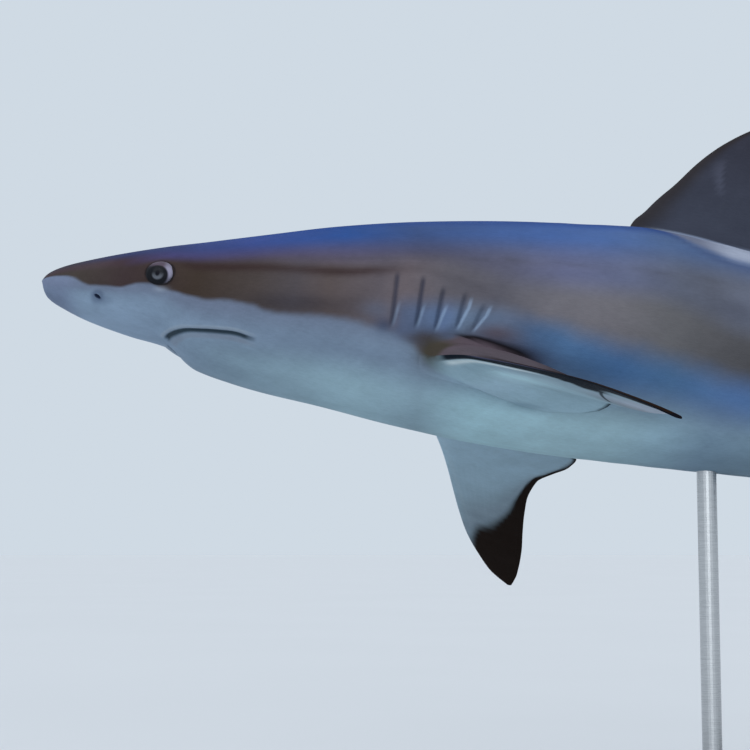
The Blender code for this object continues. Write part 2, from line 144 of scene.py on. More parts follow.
# ------------------------------------------------------------------ sizes of the skin only
HALF_ROWS = 80                 # grid rows from the belly midline to the back midline
ROWS = 2 * HALF_ROWS
ROOT_ROW = 25                  # the row that runs along the bases of the paired fins
# station: angle of that row round the body, in degrees (-90 belly, 90 back)
ROOT_LINE = ((0.00, -33.0), (0.10, -31.0), (0.17, -27.5), (0.2014, -27.0), (0.235, -32.0),
             (0.263, -36.5), (0.31, -44.0), (0.40, -57.0), (0.478, -62.5), (0.532, -61.5),
             (0.60, -50.0), (0.735, -38.0), (1.01, -38.0))
# share of the way up the side: angle, closer together along the side of the head
ROW_ANGLE = ((0.00, -90.0), (0.13, -58.0), (0.737, 27.0), (1.00, 90.0))
# columns: station, then the spacing from it to the next one
COLUMNS = ((0.0005, 0.0006), (0.0100, 0.0010), (0.0300, 0.00095), (0.0400, 0.0011),
           (0.0540, 0.00085), (0.0770, 0.00125), (0.1200, 0.0014), (0.1760, 0.0009),
           (0.18265, 0.00085), (0.1948, 0.00085), (0.2046, 0.00085), (0.2150, 0.00085),
           (0.22355, 0.00095), (0.2400, 0.0018), (0.3020, 0.0026), (0.4000, 0.0031),
           (0.4760, 0.0022), (0.5660, 0.0031), (0.6080, 0.0020), (0.6750, 0.0026),
           (0.7260, 0.0012), (0.7350, 0.0022), (0.7560, 0.0040), (0.8400, 0.0052),
           (0.9450, 0.0032), (1.0000, 0.0))
# gill slits: lower end (s, z), upper end (s, z)
GILLS = ((0.1827, -0.0196, 0.1826, 0.0080), (0.1944, -0.0192, 0.1953, 0.0068),
         (0.2037, -0.0200, 0.2055, 0.0018), (0.2137, -0.0185, 0.2163, -0.0002),
         (0.2213, -0.0190, 0.2258, -0.0050))
# mouth line from the front of the jaw to the corner: (s, z)
MOUTH = ((0.060, -0.0248), (0.0670, -0.0253), (0.0700, -0.0258), (0.0725, -0.0263), (0.0755, -0.0267), (0.0790, -0.0269),
         (0.0875, -0.0271), (0.0950, -0.0271), (0.1040, -0.0273), (0.1155, -0.0292), (0.130, -0.0314))
MOUTH_FRONT, MOUTH_CORNER = 0.0632, 0.1182
NOSTRIL_AT = (0.0347, -34.0)   # station and angle
EYE_OPENING = (0.0113, 0.0094)
OPENING_AT = (EYE_AT[0] + 0.00085, EYE_AT[2] + 0.00030)


# ------------------------------------------------------------------ curves and sections
def through(table, column, x):
    """Smooth monotone curve through one column of a table of stations."""
    xs = np.array([row[0] for row in table])
    ys = np.array([row[column] for row in table])
    x = np.asarray(x, dtype=float)
    step = np.diff(xs)
    slope = np.diff(ys) / step
    tangent = np.zeros_like(ys)
    same_way = slope[:-1] * slope[1:] > 0
    total = np.where(same_way, slope[:-1] + slope[1:], 1.0)
    tangent[1:-1] = np.where(same_way, 2 * slope[:-1] * slope[1:] / total, 0.0)
    tangent[0] = 1.5 * slope[0] - 0.5 * tangent[1]
    tangent[-1] = 1.5 * slope[-1] - 0.5 * tangent[-2]
    i = np.clip(np.searchsorted(xs, x) - 1, 0, len(step) - 1)
    t = np.clip((x - xs[i]) / step[i], 0, 1)
    return ((1 + 2 * t) * (1 - t) ** 2 * ys[i] + t * (1 - t) ** 2 * step[i] * tangent[i]
            + t * t * (3 - 2 * t) * ys[i + 1] + t * t * (t - 1) * step[i] * tangent[i + 1])


def step01(x, low, high):
    t = np.clip((np.asarray(x, dtype=float) - low) / (high - low), 0, 1)
    return t * t * (3 - 2 * t)


def hump(x, centre, width):
    return np.exp(-(((np.asarray(x, dtype=float) - centre) / width) ** 2))


SPINE_S = np.linspace(0.0, 1.0, 1001)
SPINE_HEADING = through(SPINE, 1, SPINE_S)
_mid = (SPINE_HEADING[1:] + SPINE_HEADING[:-1]) / 2
SPINE_X = np.concatenate([[0], np.cumsum(np.cos(_mid) * np.diff(SPINE_S))])
SPINE_Y = np.concatenate([[0], np.cumsum(np.sin(_mid) * np.diff(SPINE_S))])
POSE = Matrix.LocRotScale(
    Vector(POSE_AT),
    Matrix.Rotation(math.radians(POSE_PITCH), 3, "Y")
    @ Matrix.Rotation(math.radians(POSE_BANK), 3, "X"), None)
POSE_R = np.array(POSE.to_3x3())
POSE_T = np.array(POSE_AT)


def posed(p):
    """Points of the straight animal, bent along the spine and set over the stand."""
    p = np.asarray(p, dtype=float)
    s = p[..., 0]
    turn = np.interp(s, SPINE_S, SPINE_HEADING)
    ahead = np.minimum(s, 0.0)
    x = np.interp(s, SPINE_S, SPINE_X) + ahead - p[..., 1] * np.sin(turn)
    y = np.interp(s, SPINE_S, SPINE_Y) + p[..., 1] * np.cos(turn)
    bent = np.stack([x, y, p[..., 2]], -1) * TL
    return bent @ POSE_R.T + POSE_T


def surface(c, angle):
    """Point of the body on column c (a station, or past 0.735 a share of the upper tail
    lobe) at an angle round it in degrees, -90 belly, 90 back, right side first."""
    c, angle = np.broadcast_arrays(np.asarray(c, float), np.asarray(angle, float))
    a = np.radians(angle)
    up, out = np.sin(a), np.cos(a)
    s = np.minimum(c, TAIL_END)
    half, back, belly = (through(BODY, k, s) for k in (1, 2, 3))
    middle = 0.45 * back + 0.55 * belly
    flat = 2.0 + 0.5 * np.clip((0.10 - s) / 0.05, 0, 1)
    low = up < 0
    shaped_out = np.sign(out) * np.abs(out) ** np.where(low, 2 / flat, 1.0)
    shaped_up = np.sign(up) * np.abs(up) ** np.where(low, 2 / flat, 1.0)
    y = half * shaped_out
    z = middle + np.where(low, middle - belly, back - middle) * shaped_up
    v = np.clip((c - TAIL_END) / (1 - TAIL_END), 0, 1)
    bx, bz, ux, uz, lobe_half = (through(UPPER_LOBE, k, v) for k in range(1, 6))
    q = 0.45 + np.where(up > 0, 0.55, 0.45) * up
    web = np.minimum(1.0, v / 0.15)
    thick = 1 - web * 0.62 * (1 - np.exp(-(((q - 0.72) / 0.30) ** 2)))
    tail = c > TAIL_END
    return np.stack([np.where(tail, ux + (bx - ux) * q, s),
                     np.where(tail, lobe_half * thick * out, y),
                     np.where(tail, uz + (bz - uz) * q, z)], -1)


def inside(p):
    """Below 0 inside the body, above 0 outside it (straight frame)."""
    s = np.clip(p[..., 0], 0.0006, TAIL_END)
    half, back, belly = (through(BODY, k, s) for k in (1, 2, 3))
    middle = 0.45 * back + 0.55 * belly
    z = p[..., 2] - middle
    return np.hypot(p[..., 1] / half, z / np.where(z > 0, back - middle, middle - belly)) - 1


# ------------------------------------------------------------------ the body's grid
def column_list():
    out = []
    for (a, gap), (b, _) in zip(COLUMNS, COLUMNS[1:]):
        n = max(1, int(round((b - a) / gap)))
        out += [a + (b - a) * k / n for k in range(n)]
    return np.array(out + [COLUMNS[-1][0]])


cols = column_list()
NC = len(cols)
share = np.linspace(0, 1, HALF_ROWS + 1)
base_angle = through(ROW_ANGLE, 1, share)
root_base = base_angle[ROOT_ROW]
root_angle = through(ROOT_LINE, 1, cols)
below = -90 + (base_angle[None, :] + 90) * (root_angle[:, None] + 90) / (root_base + 90)
above = 90 - (90 - base_angle[None, :]) * (90 - root_angle[:, None]) / (90 - root_base)
side_angle = np.where(np.arange(HALF_ROWS + 1)[None, :] <= ROOT_ROW, below, above)
angles = np.concatenate([side_angle, 180 - side_angle[:, -2:0:-1]], axis=1)  # NC x ROWS
grid_c = np.repeat(cols[:, None], ROWS, axis=1)
grid = surface(grid_c, angles)

verts = [grid.reshape(-1, 3)]          # straight frame
vert_c = [grid_c.reshape(-1)]
vert_angle = [angles.reshape(-1)]
vert_kind = [np.zeros(NC * ROWS, int)]  # 0 body, then one number for each fin or hole
vert_u = [np.zeros(NC * ROWS)]
vert_v = [np.zeros(NC * ROWS)]
vert_side = [np.zeros(NC * ROWS)]
vert_total = NC * ROWS
faces, face_uv = [], []
keep = np.ones((NC - 1, ROWS), bool)


def gid(i, j):
    return i * ROWS + (j % ROWS)


def nearest_column(s):
    return int(np.argmin(np.abs(cols - s)))


def add_verts(points, c, angle, kind, u, v, side):
    global vert_total
    n = len(points)
    verts.append(np.asarray(points, float))
    for store, value in ((vert_c, c), (vert_angle, angle), (vert_u, u), (vert_v, v),
                         (vert_side, side)):
        store.append(np.broadcast_to(np.asarray(value, float), (n,)).copy())
    vert_kind.append(np.full(n, kind, int))
    first = vert_total
    vert_total += n
    return np.arange(first, first + n)


def perimeter(i0, i1, j0, j1):
    """Vertices round a block of the grid: along its high side, down its rear end, back
    along its low side and up its front end. Also (share along, share across)."""
    cells, places = [], []
    n, m = i1 - i0, j1 - j0
    for i in range(i0, i1):
        cells.append((i, j1)); places.append(((i - i0) / n, 1.0))
    for j in range(j1, j0, -1):
        cells.append((i1, j)); places.append((1.0, (j - j0) / m * 2 - 1))
    for i in range(i1, i0, -1):
        cells.append((i, j0)); places.append(((i - i0) / n, -1.0))
    for j in range(j0, j1):
        cells.append((i0, j)); places.append((0.0, (j - j0) / m * 2 - 1))
    return cells, np.array(places)


def remove_block(i0, i1, j0, j1):
    for j in range(j0, j1):
        keep[i0:i1, j % ROWS] = False


# islands of the bake map: fins and holes are packed in strips under the body's two bands
island_cursor = [0.0, 0.0, 0.0]


def island(width, height):
    x, y, row = island_cursor
    if x + width > 1.0:
        x, y, row = 0.0, y + row + 0.004, 0.0
    island_cursor[0], island_cursor[1], island_cursor[2] = x + width + 0.004, y, max(row, height)
    return x + 0.002, y + 0.002, width - 0.002, height - 0.002


def bridge(lower, upper, uv_box=None, k0=0.0, k1=1.0, flip=False):
    """Faces between two closed loops of equal count."""
    n = len(lower)
    for p in range(n):
        q = (p + 1) % n
        quad = (lower[p], lower[q], upper[q], upper[p])
        uv = ((p / n, k0), ((p + 1) / n, k0), ((p + 1) / n, k1), (p / n, k1))
        if uv_box:
            x, y, w, h = uv_box
            uv = tuple((x + a * w, y + b * h) for a, b in uv)
        if not flip:
            quad, uv = quad[::-1], uv[::-1]
        faces.append(quad)
        face_uv.append(uv)


def blend_rows(table, v):
    """Front edge and rear edge of a fin at the share v of its rows, smoothly."""
    n = len(table)
    listed = [(k / (n - 1), *row) for k, row in enumerate(table)]
    return [through(listed, k, v) for k in range(1, 5)]


def fin_point(table, place, root_half, tip_half, u, tau, v, flex=None):
    """Point of a fin at share u along the chord, tau across its thickness, v of the rows."""
    fa, fb, ra, rb = blend_rows(table, v)
    half = tip_half + (root_half - tip_half) * (1 - v) ** 1.4
    profile = 1.86 * np.sqrt(u) * (1 - u) ** 0.88
    thick = half * profile + 0.00028 * u ** 2
    if flex == "left":
        ra = ra * through(LEFT_TUCK, 1, v)
    a = fa + (ra - fa) * u
    h = tau * thick
    if flex:
        h = h * (1 + np.where(tau > 0, through(PECTORAL_SHOULDER, 1, v), 0))
    if flex == "left":
        h = h + through(LEFT_BOW, 1, v) - through(LEFT_LEAN, 1, v) * (a - fa)
    return place(a, fb + (rb - fb) * u, h)


FIN_KINDS = {}


def foot_angle(p, near):
    """Angle round the body of a point on it, on the same turn as the angle near."""
    s = p[:, 0]
    half, back, belly = (through(BODY, k, s) for k in (1, 2, 3))
    middle = 0.45 * back + 0.55 * belly
    z = p[:, 2] - middle
    a = np.degrees(np.arctan2(z / np.where(z > 0, back - middle, middle - belly), p[:, 1] / half))
    return near + (a - near + 180) % 360 - 180


def grow_fin(name, kind, i0, i1, jc, m_low, m_high, table, place, root_half, tip_half,
             rows, fillet, sign, mirror=False, emerge=None, uv_size=(0.2, 0.12), flex=None):
    """Cuts a slot in the body's grid and grows a closed fin out of it: a skirt along the
    body up to the fin's foot, a fillet, then the fin."""
    FIN_KINDS[kind] = name
    j0, j1 = jc - m_low, jc + m_high
    cells, places = perimeter(i0, i1, j0, j1)
    n = i1 - i0
    reach = cols[i1] - cols[i0]
    ua, ub = 0.010, 0.992
    u = np.empty(len(cells))
    tau = np.empty(len(cells))
    for k, ((i, j), (along, across)) in enumerate(zip(cells, places)):
        if 0 < along < 1 or abs(across) == 1:
            t = (cols[i] - cols[i0]) / reach
            u[k], tau[k] = ua + (ub - ua) * t, across
        elif along == 0:
            u[k], tau[k] = ua * across ** 2, across
        else:
            u[k], tau[k] = 1 - (1 - ub) * across ** 2, across
    tau = tau * sign

    # where each line along the span leaves the body
    look = np.linspace(0, 0.45, 226)
    if emerge is None:
        pts = fin_point(table, place, root_half, tip_half, u[:, None], tau[:, None],
                        look[None, :], flex)
        out = inside(pts) > 0
        first = np.argmax(out, axis=1)
        start = look[np.maximum(first, 1)]
        start = np.where(out.any(axis=1), start, 0.08)
    else:
        start = np.full(len(u), emerge)
    # even the start out round the loop
    for _ in range(3):
        start = (np.roll(start, 1) + start * 2 + np.roll(start, -1)) / 4
    root = np.array([grid[i, j % ROWS] for i, j in cells])
    leave = fin_point(table, place, root_half, tip_half, u, tau, start, flex)
    near = start + 0.02
    for _ in range(30):
        tip = fin_point(table, place, root_half, tip_half, u, tau, near, flex)
        short = np.linalg.norm(tip - leave, axis=1) < fillet
        near = np.where(short, near + 0.006, near)
    near = np.minimum(near, 0.5)
    for _ in range(4):
        near = (np.roll(near, 1) + near * 2 + np.roll(near, -1)) / 4
    end = fin_point(table, place, root_half, tip_half, u, tau, near, flex)
    flip_y = np.array([1, -1, 1]) if mirror else np.array([1, 1, 1])

    def index(i, j):
        return gid(i, -j if mirror else j)

    loop = np.array([index(i, j) for i, j in cells])
    if mirror:
        remove_block(i0, i1, -j1, -j0)
    else:
        remove_block(i0, i1, j0, j1)
    c_here = np.array([cols[i] for i, _ in cells])
    a_here = np.array([angles[i, j % ROWS] for i, j in cells])
    box = island(*uv_size)
    rings = [loop]
    if emerge is None:
        foot_c, foot_a = leave[:, 0], foot_angle(leave, a_here)
        away = np.linalg.norm(root - leave, axis=1)
        keep_off = np.clip(fillet / np.maximum(away, 1e-6), 0, 0.85)
        c_skirt = foot_c + (c_here - foot_c) * keep_off
        a_skirt = foot_a + (a_here - foot_a) * keep_off
        for k in range(1, 5):
            c_k = c_here + (c_skirt - c_here) * k / 4
            a_k = a_here + (a_skirt - a_here) * k / 4
            rings.append(add_verts(surface(c_k, a_k) * flip_y, c_k,
                                   180 - a_k if mirror else a_k, 0, u, k / 4 - 1.001, tau))
        root, c_here, a_here = surface(c_skirt, a_skirt), c_skirt, a_skirt
    if mirror:
        a_here = 180 - a_here
    fillet_t = (0.18, 0.36, 0.56, 0.78, 1.0)
    for r, t in enumerate(fillet_t):
        p = (1 - t) ** 2 * root + 2 * t * (1 - t) * leave + t * t * end
        rings.append(add_verts(p * flip_y, c_here, a_here, kind, u, near * t, tau))
    for r in range(1, rows + 1):
        t = r / rows
        t = t + 0.10 * math.sin(math.pi * t) * t
        v = near + (1 - near) * t
        p = fin_point(table, place, root_half, tip_half, u, tau, v, flex)
        rings.append(add_verts(p * flip_y, c_here, a_here, kind, u, v, tau))
    last = len(rings) - 1
    for r in range(last):
        bridge(rings[r], rings[r + 1], box, r / last, (r + 1) / last, flip=mirror)
    # close the tip with a sheet of quads across the thin end
    m = j1 - j0
    top = rings[-1]
    place_of = {}
    for k, (along, across) in enumerate(places):
        ii = int(round(along * n))
        jj = int(round((across + 1) / 2 * m))
        place_of[(ii, jj)] = top[k]
    tip_pts = fin_point(table, place, root_half, tip_half, u, tau, np.ones(len(u)), flex) * flip_y
    high = {int(round(a * n)): k for k, (a, b) in enumerate(places) if b == 1.0}
    low = {int(round(a * n)): k for k, (a, b) in enumerate(places) if b == -1.0}
    for ii in range(1, n):
        ph, pl = tip_pts[high[ii]], tip_pts[low[ii]]
        inner = [pl + (ph - pl) * jj / m for jj in range(1, m)]
        ids = add_verts(inner, c_here[0], a_here[0], kind, ii / n, 1.0, 0.0)
        for jj in range(1, m):
            place_of[(ii, jj)] = ids[jj - 1]
    x, y, w, h = box
    for ii in range(n):
        for jj in range(m):
            quad = (place_of[(ii, jj)], place_of[(ii + 1, jj)],
                    place_of[(ii + 1, jj + 1)], place_of[(ii, jj + 1)])
            uv = tuple((x + w * a, y + h * 0.999) for a in (0.1, 0.1001, 0.1002, 0.1001))
            if mirror:
                quad = quad[::-1]
            faces.append(quad)
            face_uv.append(uv)
    return rings


def in_midplane(a, b, h):
    return np.stack(np.broadcast_arrays(a, h, b), -1)


def on_side(root, base, span, sweep=0.0):
    root, base = np.array(root), np.array(base) / np.linalg.norm(base)
    span = np.array(span)
    span = span - base * (span @ base)
    span /= np.linalg.norm(span)
    out = np.cross(base, span)

    def place(a, b, h):
        a, b, h = np.broadcast_arrays(a, b, h)
        a = a + sweep * np.maximum(b, 0)
        return root + base * a[..., None] + span * b[..., None] + out * h[..., None]
    return place


BACK_ROW = HALF_ROWS
# fins on the midline of the back: y > 0 is the low-row side
grow_fin("first_dorsal", 1, nearest_column(0.2990), nearest_column(0.4100), BACK_ROW, 4, 4,
         FIRST_DORSAL, in_midplane, 0.0062, 0.0010, 40, 0.0055, -1, uv_size=(0.34, 0.16))
grow_fin("second_dorsal", 2, nearest_column(0.6235), nearest_column(0.6735), BACK_ROW, 4, 4,
         SECOND_DORSAL, in_midplane, 0.0034, 0.0006, 22, 0.0030, -1, uv_size=(0.14, 0.06))
# fins under the belly: y > 0 is the high-row side
grow_fin("anal", 3, nearest_column(0.6100), nearest_column(0.6665), 0, 5, 5,
         ANAL, in_midplane, 0.0034, 0.0006, 22, 0.0030, 1, uv_size=(0.14, 0.06))
grow_fin("lower_lobe", 4, nearest_column(0.745), nearest_column(0.8125), 0, 15, 15,
         LOWER_LOBE, in_midplane, 0.0048, 0.0008, 32, 0.0070, 1, emerge=0.07,
         uv_size=(0.20, 0.12))
for mirror in (False, True):
    extra = 10 if mirror else 0
    grow_fin("pectoral", 5 + extra, nearest_column(0.1972), nearest_column(0.2720),
             ROOT_ROW, 9, 9, PECTORAL,
             on_side(PECTORAL_ROOT, PECTORAL_BASE, PECTORAL_SPAN, LEFT_SWEEP if mirror else 0.0),
             0.0064, 0.0008, 46, 0.0050, 1, mirror, uv_size=(0.40, 0.17),
             flex="left" if mirror else "right")
    grow_fin("pelvic", 6 + extra, nearest_column(0.4780), nearest_column(0.5645),
             ROOT_ROW, 5, 7, PELVIC,
             on_side(PELVIC_ROOT, PELVIC_BASE, PELVIC_SPAN),
             0.0034, 0.0007, 24, 0.0035, 1, mirror, uv_size=(0.16, 0.07))


# ------------------------------------------------------------------ eye and nostril holes
def angle_at(s, z):
    """Angle round the right side of the body at which a station's surface has height z."""
    look = np.linspace(-89, 89, 1425)
    return float(np.interp(z, surface(s, look)[:, 2], look))


EYE_ANGLE = angle_at(OPENING_AT[0], OPENING_AT[1])


def ring_points(cells, centre_c, centre_a, radii, tilt, scale):
    """Points on the body's surface, on an ellipse (radii in metres) round a centre, one for
    each cell of a perimeter, in the same order round it."""
    arc = TL * np.linalg.norm(surface(centre_c, centre_a + 1.0) - surface(centre_c, centre_a - 1.0)) / 2
    run = TL * np.linalg.norm(surface(centre_c + 1e-3, centre_a) - surface(centre_c - 1e-3, centre_a)) / 2e-3
    out = []
    for i, j in cells:
        dx = (cols[i] - centre_c) * run
        dy = (angles[i, j] - centre_a) * arc
        # direction in the ellipse's own axes
        ca, sa = math.cos(tilt), math.sin(tilt)
        ex, ey = dx * ca + dy * sa, -dx * sa + dy * ca
        t = math.atan2(ey / radii[1], ex / radii[0])
        px, py = radii[0] * math.cos(t) * scale, radii[1] * math.sin(t) * scale
        wx, wy = px * ca - py * sa, px * sa + py * ca
        out.append((centre_c + wx / run, centre_a + wy / arc))
    return np.array(out)


def normal_at(c, a):
    e = 1e-3
    du = surface(c + e * 0.2, a) - surface(c - e * 0.2, a)
    dv = surface(c, a + 0.2) - surface(c, a - 0.2)
    n = np.cross(du, dv)
    n /= np.linalg.norm(n, axis=-1, keepdims=True) + 1e-12
    away = (n[..., 1] > 0) * 2 - 1
    return n * away[..., None]


def open_hole(kind, c0, a0, half_c, half_a, radii, tilt, spread, levels, floor_depth, uv_size):
    """Cuts an oval hole through the skin with a rolled rim: levels are (scale, height) in
    units of the radii and metres; spread is how many rings lead from the grid to the rim."""
    FIN_KINDS[kind] = "hole"
    i0, i1 = nearest_column(c0 - half_c), nearest_column(c0 + half_c)
    ic = nearest_column(c0)
    j0 = int(np.argmin(np.abs(angles[ic, :HALF_ROWS] - (a0 - half_a))))
    j1 = int(np.argmin(np.abs(angles[ic, :HALF_ROWS] - (a0 + half_a))))
    cells, places = perimeter(i0, i1, j0, j1)
    start = np.array([(cols[i], angles[i, j]) for i, j in cells])
    rim = ring_points(cells, c0, a0, radii, tilt, 1.0)
    turn = np.array([0.0, 0.0, 0.0])
    boxes = island(*uv_size), island(*uv_size)
    made = {}
    for mirror in (False, True):
        loop = np.array([gid(i, -j if mirror else j) for i, j in cells])
        if mirror:
            remove_block(i0, i1, -j1, -j0)
        else:
            remove_block(i0, i1, j0, j1)
        flip = np.array([1, -1, 1]) if mirror else np.array([1, 1, 1])
        kd = kind + (10 if mirror else 0)
        FIN_KINDS[kd] = "hole"
        box = boxes[1 if mirror else 0]
        rings = [loop]
        side = -1.0 if mirror else 1.0
        steps = spread + len(levels) + 1
        for k in range(1, spread + 1):
            t = k / spread
            ca = start + (rim - start) * t
            p = surface(ca[:, 0], ca[:, 1])
            rings.append(add_verts(p * flip, ca[:, 0], ca[:, 1], kd, 2 - t, 0.0, side))
        n = normal_at(rim[:, 0], rim[:, 1])
        for scale, height in levels:
            ca = ring_points(cells, c0, a0, radii, tilt, scale)
            p = surface(ca[:, 0], ca[:, 1]) + n * height / TL
            rings.append(add_verts(p * flip, ca[:, 0], ca[:, 1], kd, scale, -height * 1000, side))
        for r in range(len(rings) - 1):
            bridge(rings[r], rings[r + 1], box, r / steps, (r + 1) / steps, flip=mirror)
        centre = surface(c0, a0) + normal_at(np.array(c0), np.array(a0)) * floor_depth / TL
        mid = add_verts([centre * flip], c0, a0, kd, 0.0, -floor_depth * 1000, side)[0]
        x, y, w, h = box
        last = rings[-1]
        for p in range(len(last)):
            q = (p + 1) % len(last)
            tri = (last[p], last[q], mid)
            uv = ((x + w * p / len(last), y + h * 0.98), (x + w * (p + 1) / len(last), y + h * 0.98),
                  (x + w * (p + 0.5) / len(last), y + h))
            if not mirror:
                tri, uv = tri[::-1], uv[::-1]
            faces.append(tri)
            face_uv.append(uv)
        made[mirror] = rings
    return made


eye_rings = open_hole(
    20, OPENING_AT[0], EYE_ANGLE, 0.0102, 10.5, EYE_OPENING, 0.0, 5,
    ((0.985, 0.0005), (0.955, 0.0004), (0.945, -0.0004), (0.955, -0.0018), (0.97, -0.0040),
     (0.80, -0.0075)), -0.0090, (0.12, 0.07))
nostril_rings = open_hole(
    21, NOSTRIL_AT[0], NOSTRIL_AT[1], 0.0050, 13.5, (0.0036, 0.0021), -0.55, 4,
    ((0.93, 0.0001), (0.86, -0.0008), (0.80, -0.0024), (0.55, -0.0040)), -0.0046, (0.06, 0.04))

# ------------------------------------------------------------------ body faces
split_c = 0.30


def body_uv(c, j):
    """Two bands of the bake map: the head and shoulders, then the rest."""
    t = j / ROWS
    if c <= split_c + 1e-9:
        return 0.002 + 0.996 * c / split_c, 0.560 + 0.436 * t
    return 0.002 + 0.996 * (c - split_c) / (1 - split_c), 0.372 + 0.180 * t


split_i = nearest_column(split_c)
split_c = cols[split_i]
for i in range(NC - 1):
    rear = i >= split_i
    for j in range(ROWS):
        if keep[i, j]:
            faces.append((gid(i, j), gid(i + 1, j), gid(i + 1, j + 1), gid(i, j + 1)))
            c0, c1 = cols[i], cols[i + 1]
            eps = 1e-6 if rear else 0.0
            face_uv.append((body_uv(c0 + eps, j), body_uv(c1, j), body_uv(c1, j + 1),
                            body_uv(c0 + eps, j + 1)))
nose = add_verts([(0.0, 0.0, -0.0004)], 0.0, 0.0, 0, 0, 0, 0)[0]
for j in range(ROWS):
    faces.append((gid(0, j + 1), nose, gid(0, j)))
    face_uv.append((body_uv(cols[0], j + 1), body_uv(0.0, j + 0.5), body_uv(cols[0], j)))
for j in range(HALF_ROWS):
    a, b = gid(NC - 1, j), gid(NC - 1, j + 1)
    c, d = gid(NC - 1, ROWS - j - 1), gid(NC - 1, ROWS - j)
    quad = (a, d, c, b)
    quad = tuple(dict.fromkeys(quad))
    faces.append(quad)
    face_uv.append(tuple(body_uv(1.0, j) for _ in quad))

P = np.concatenate(verts)
C = np.concatenate(vert_c)
A = np.concatenate(vert_angle)
KIND = np.concatenate(vert_kind)
U = np.concatenate(vert_u)
V = np.concatenate(vert_v)
SIDE = np.concatenate(vert_side)

# edges, for smoothing
pairs = set()
for f in faces:
    for a, b in zip(f, f[1:] + f[:1]):
        pairs.add((a, b) if a < b else (b, a))
E = np.array(sorted(pairs))


def smooth(P, mask, times, strength=0.5):
    count = np.zeros(len(P))
    np.add.at(count, E[:, 0], 1)
    np.add.at(count, E[:, 1], 1)
    for _ in range(times):
        total = np.zeros_like(P)
        np.add.at(total, E[:, 0], P[E[:, 1]])
        np.add.at(total, E[:, 1], P[E[:, 0]])
        mean = total / np.maximum(count, 1)[:, None]
        P = P + (mean - P) * (strength * mask)[:, None]
    return P


def spread_mask(seed, times):
    """1 on the seed vertices, fading over the given number of edges round them."""
    level = seed.astype(float)
    for _ in range(times):
        wide = level.copy()
        np.maximum.at(wide, E[:, 0], level[E[:, 1]] - 1.0 / times)
        np.maximum.at(wide, E[:, 1], level[E[:, 0]] - 1.0 / times)
        level = wide
    return np.clip(level, 0, 1)


fin_kind = (KIND > 0) & (KIND < 20)
root_seed = np.zeros(len(P), bool)
body_mask = KIND == 0
touch = body_mask[E[:, 0]] != body_mask[E[:, 1]]
at_root = np.zeros(len(P), bool)
at_root[E[touch].ravel()] = True
at_root &= ~(KIND >= 20)
hole_near = spread_mask(KIND >= 20, 3) > 0
P = smooth(P, spread_mask(at_root & ~hole_near, 4), 10, 0.45)

# ------------------------------------------------------------------ sculpted detail
e = 4e-4
normal = np.zeros_like(P)
tri_a, tri_b, tri_c = [], [], []
for f in faces:
    for k in range(1, len(f) - 1):
        tri_a.append(f[0]); tri_b.append(f[k]); tri_c.append(f[k + 1])
tri_a, tri_b, tri_c = np.array(tri_a), np.array(tri_b), np.array(tri_c)


def normals_of(P):
    n = np.cross(P[tri_b] - P[tri_a], P[tri_c] - P[tri_a])
    out = np.zeros_like(P)
    for t in (tri_a, tri_b, tri_c):
        np.add.at(out, t, n)
    return out / (np.linalg.norm(out, axis=1, keepdims=True) + 1e-15)


N = normals_of(P)
if (N[gid(nearest_column(0.3), 10)] * (P[gid(nearest_column(0.3), 10)] - np.array([0.3, 0, 0])))[1:].sum() < 0:
    faces = [f[::-1] for f in faces]
    face_uv = [u[::-1] for u in face_uv]
    N = -N

# lean the grid so that its columns follow the gill slits
on_body = (KIND == 0) | (KIND >= 20)
lean = through(((0.17, 0.0), (0.1827, 0.0), (0.1948, 0.035), (0.2046, 0.083), (0.2150, 0.142),
                (0.2236, 0.32), (0.232, 0.20), (0.245, 0.0), (0.26, 0.0)), 1, np.clip(C, 0.17, 0.26))
z_mid = -0.0085
lean_z = np.clip(P[:, 2] - z_mid, -0.014, 0.016) * step01(P[:, 2], -0.032, -0.022) \
    * (1 - step01(P[:, 2], 0.012, 0.028))
side_only = step01(np.abs(P[:, 1]), 0.035, 0.045)
P[:, 0] += np.where(on_body, lean * lean_z * side_only, 0)

X, Y, Z = P[:, 0], P[:, 1], P[:, 2]
mm = 0.001 / TL
move = np.zeros(len(P))

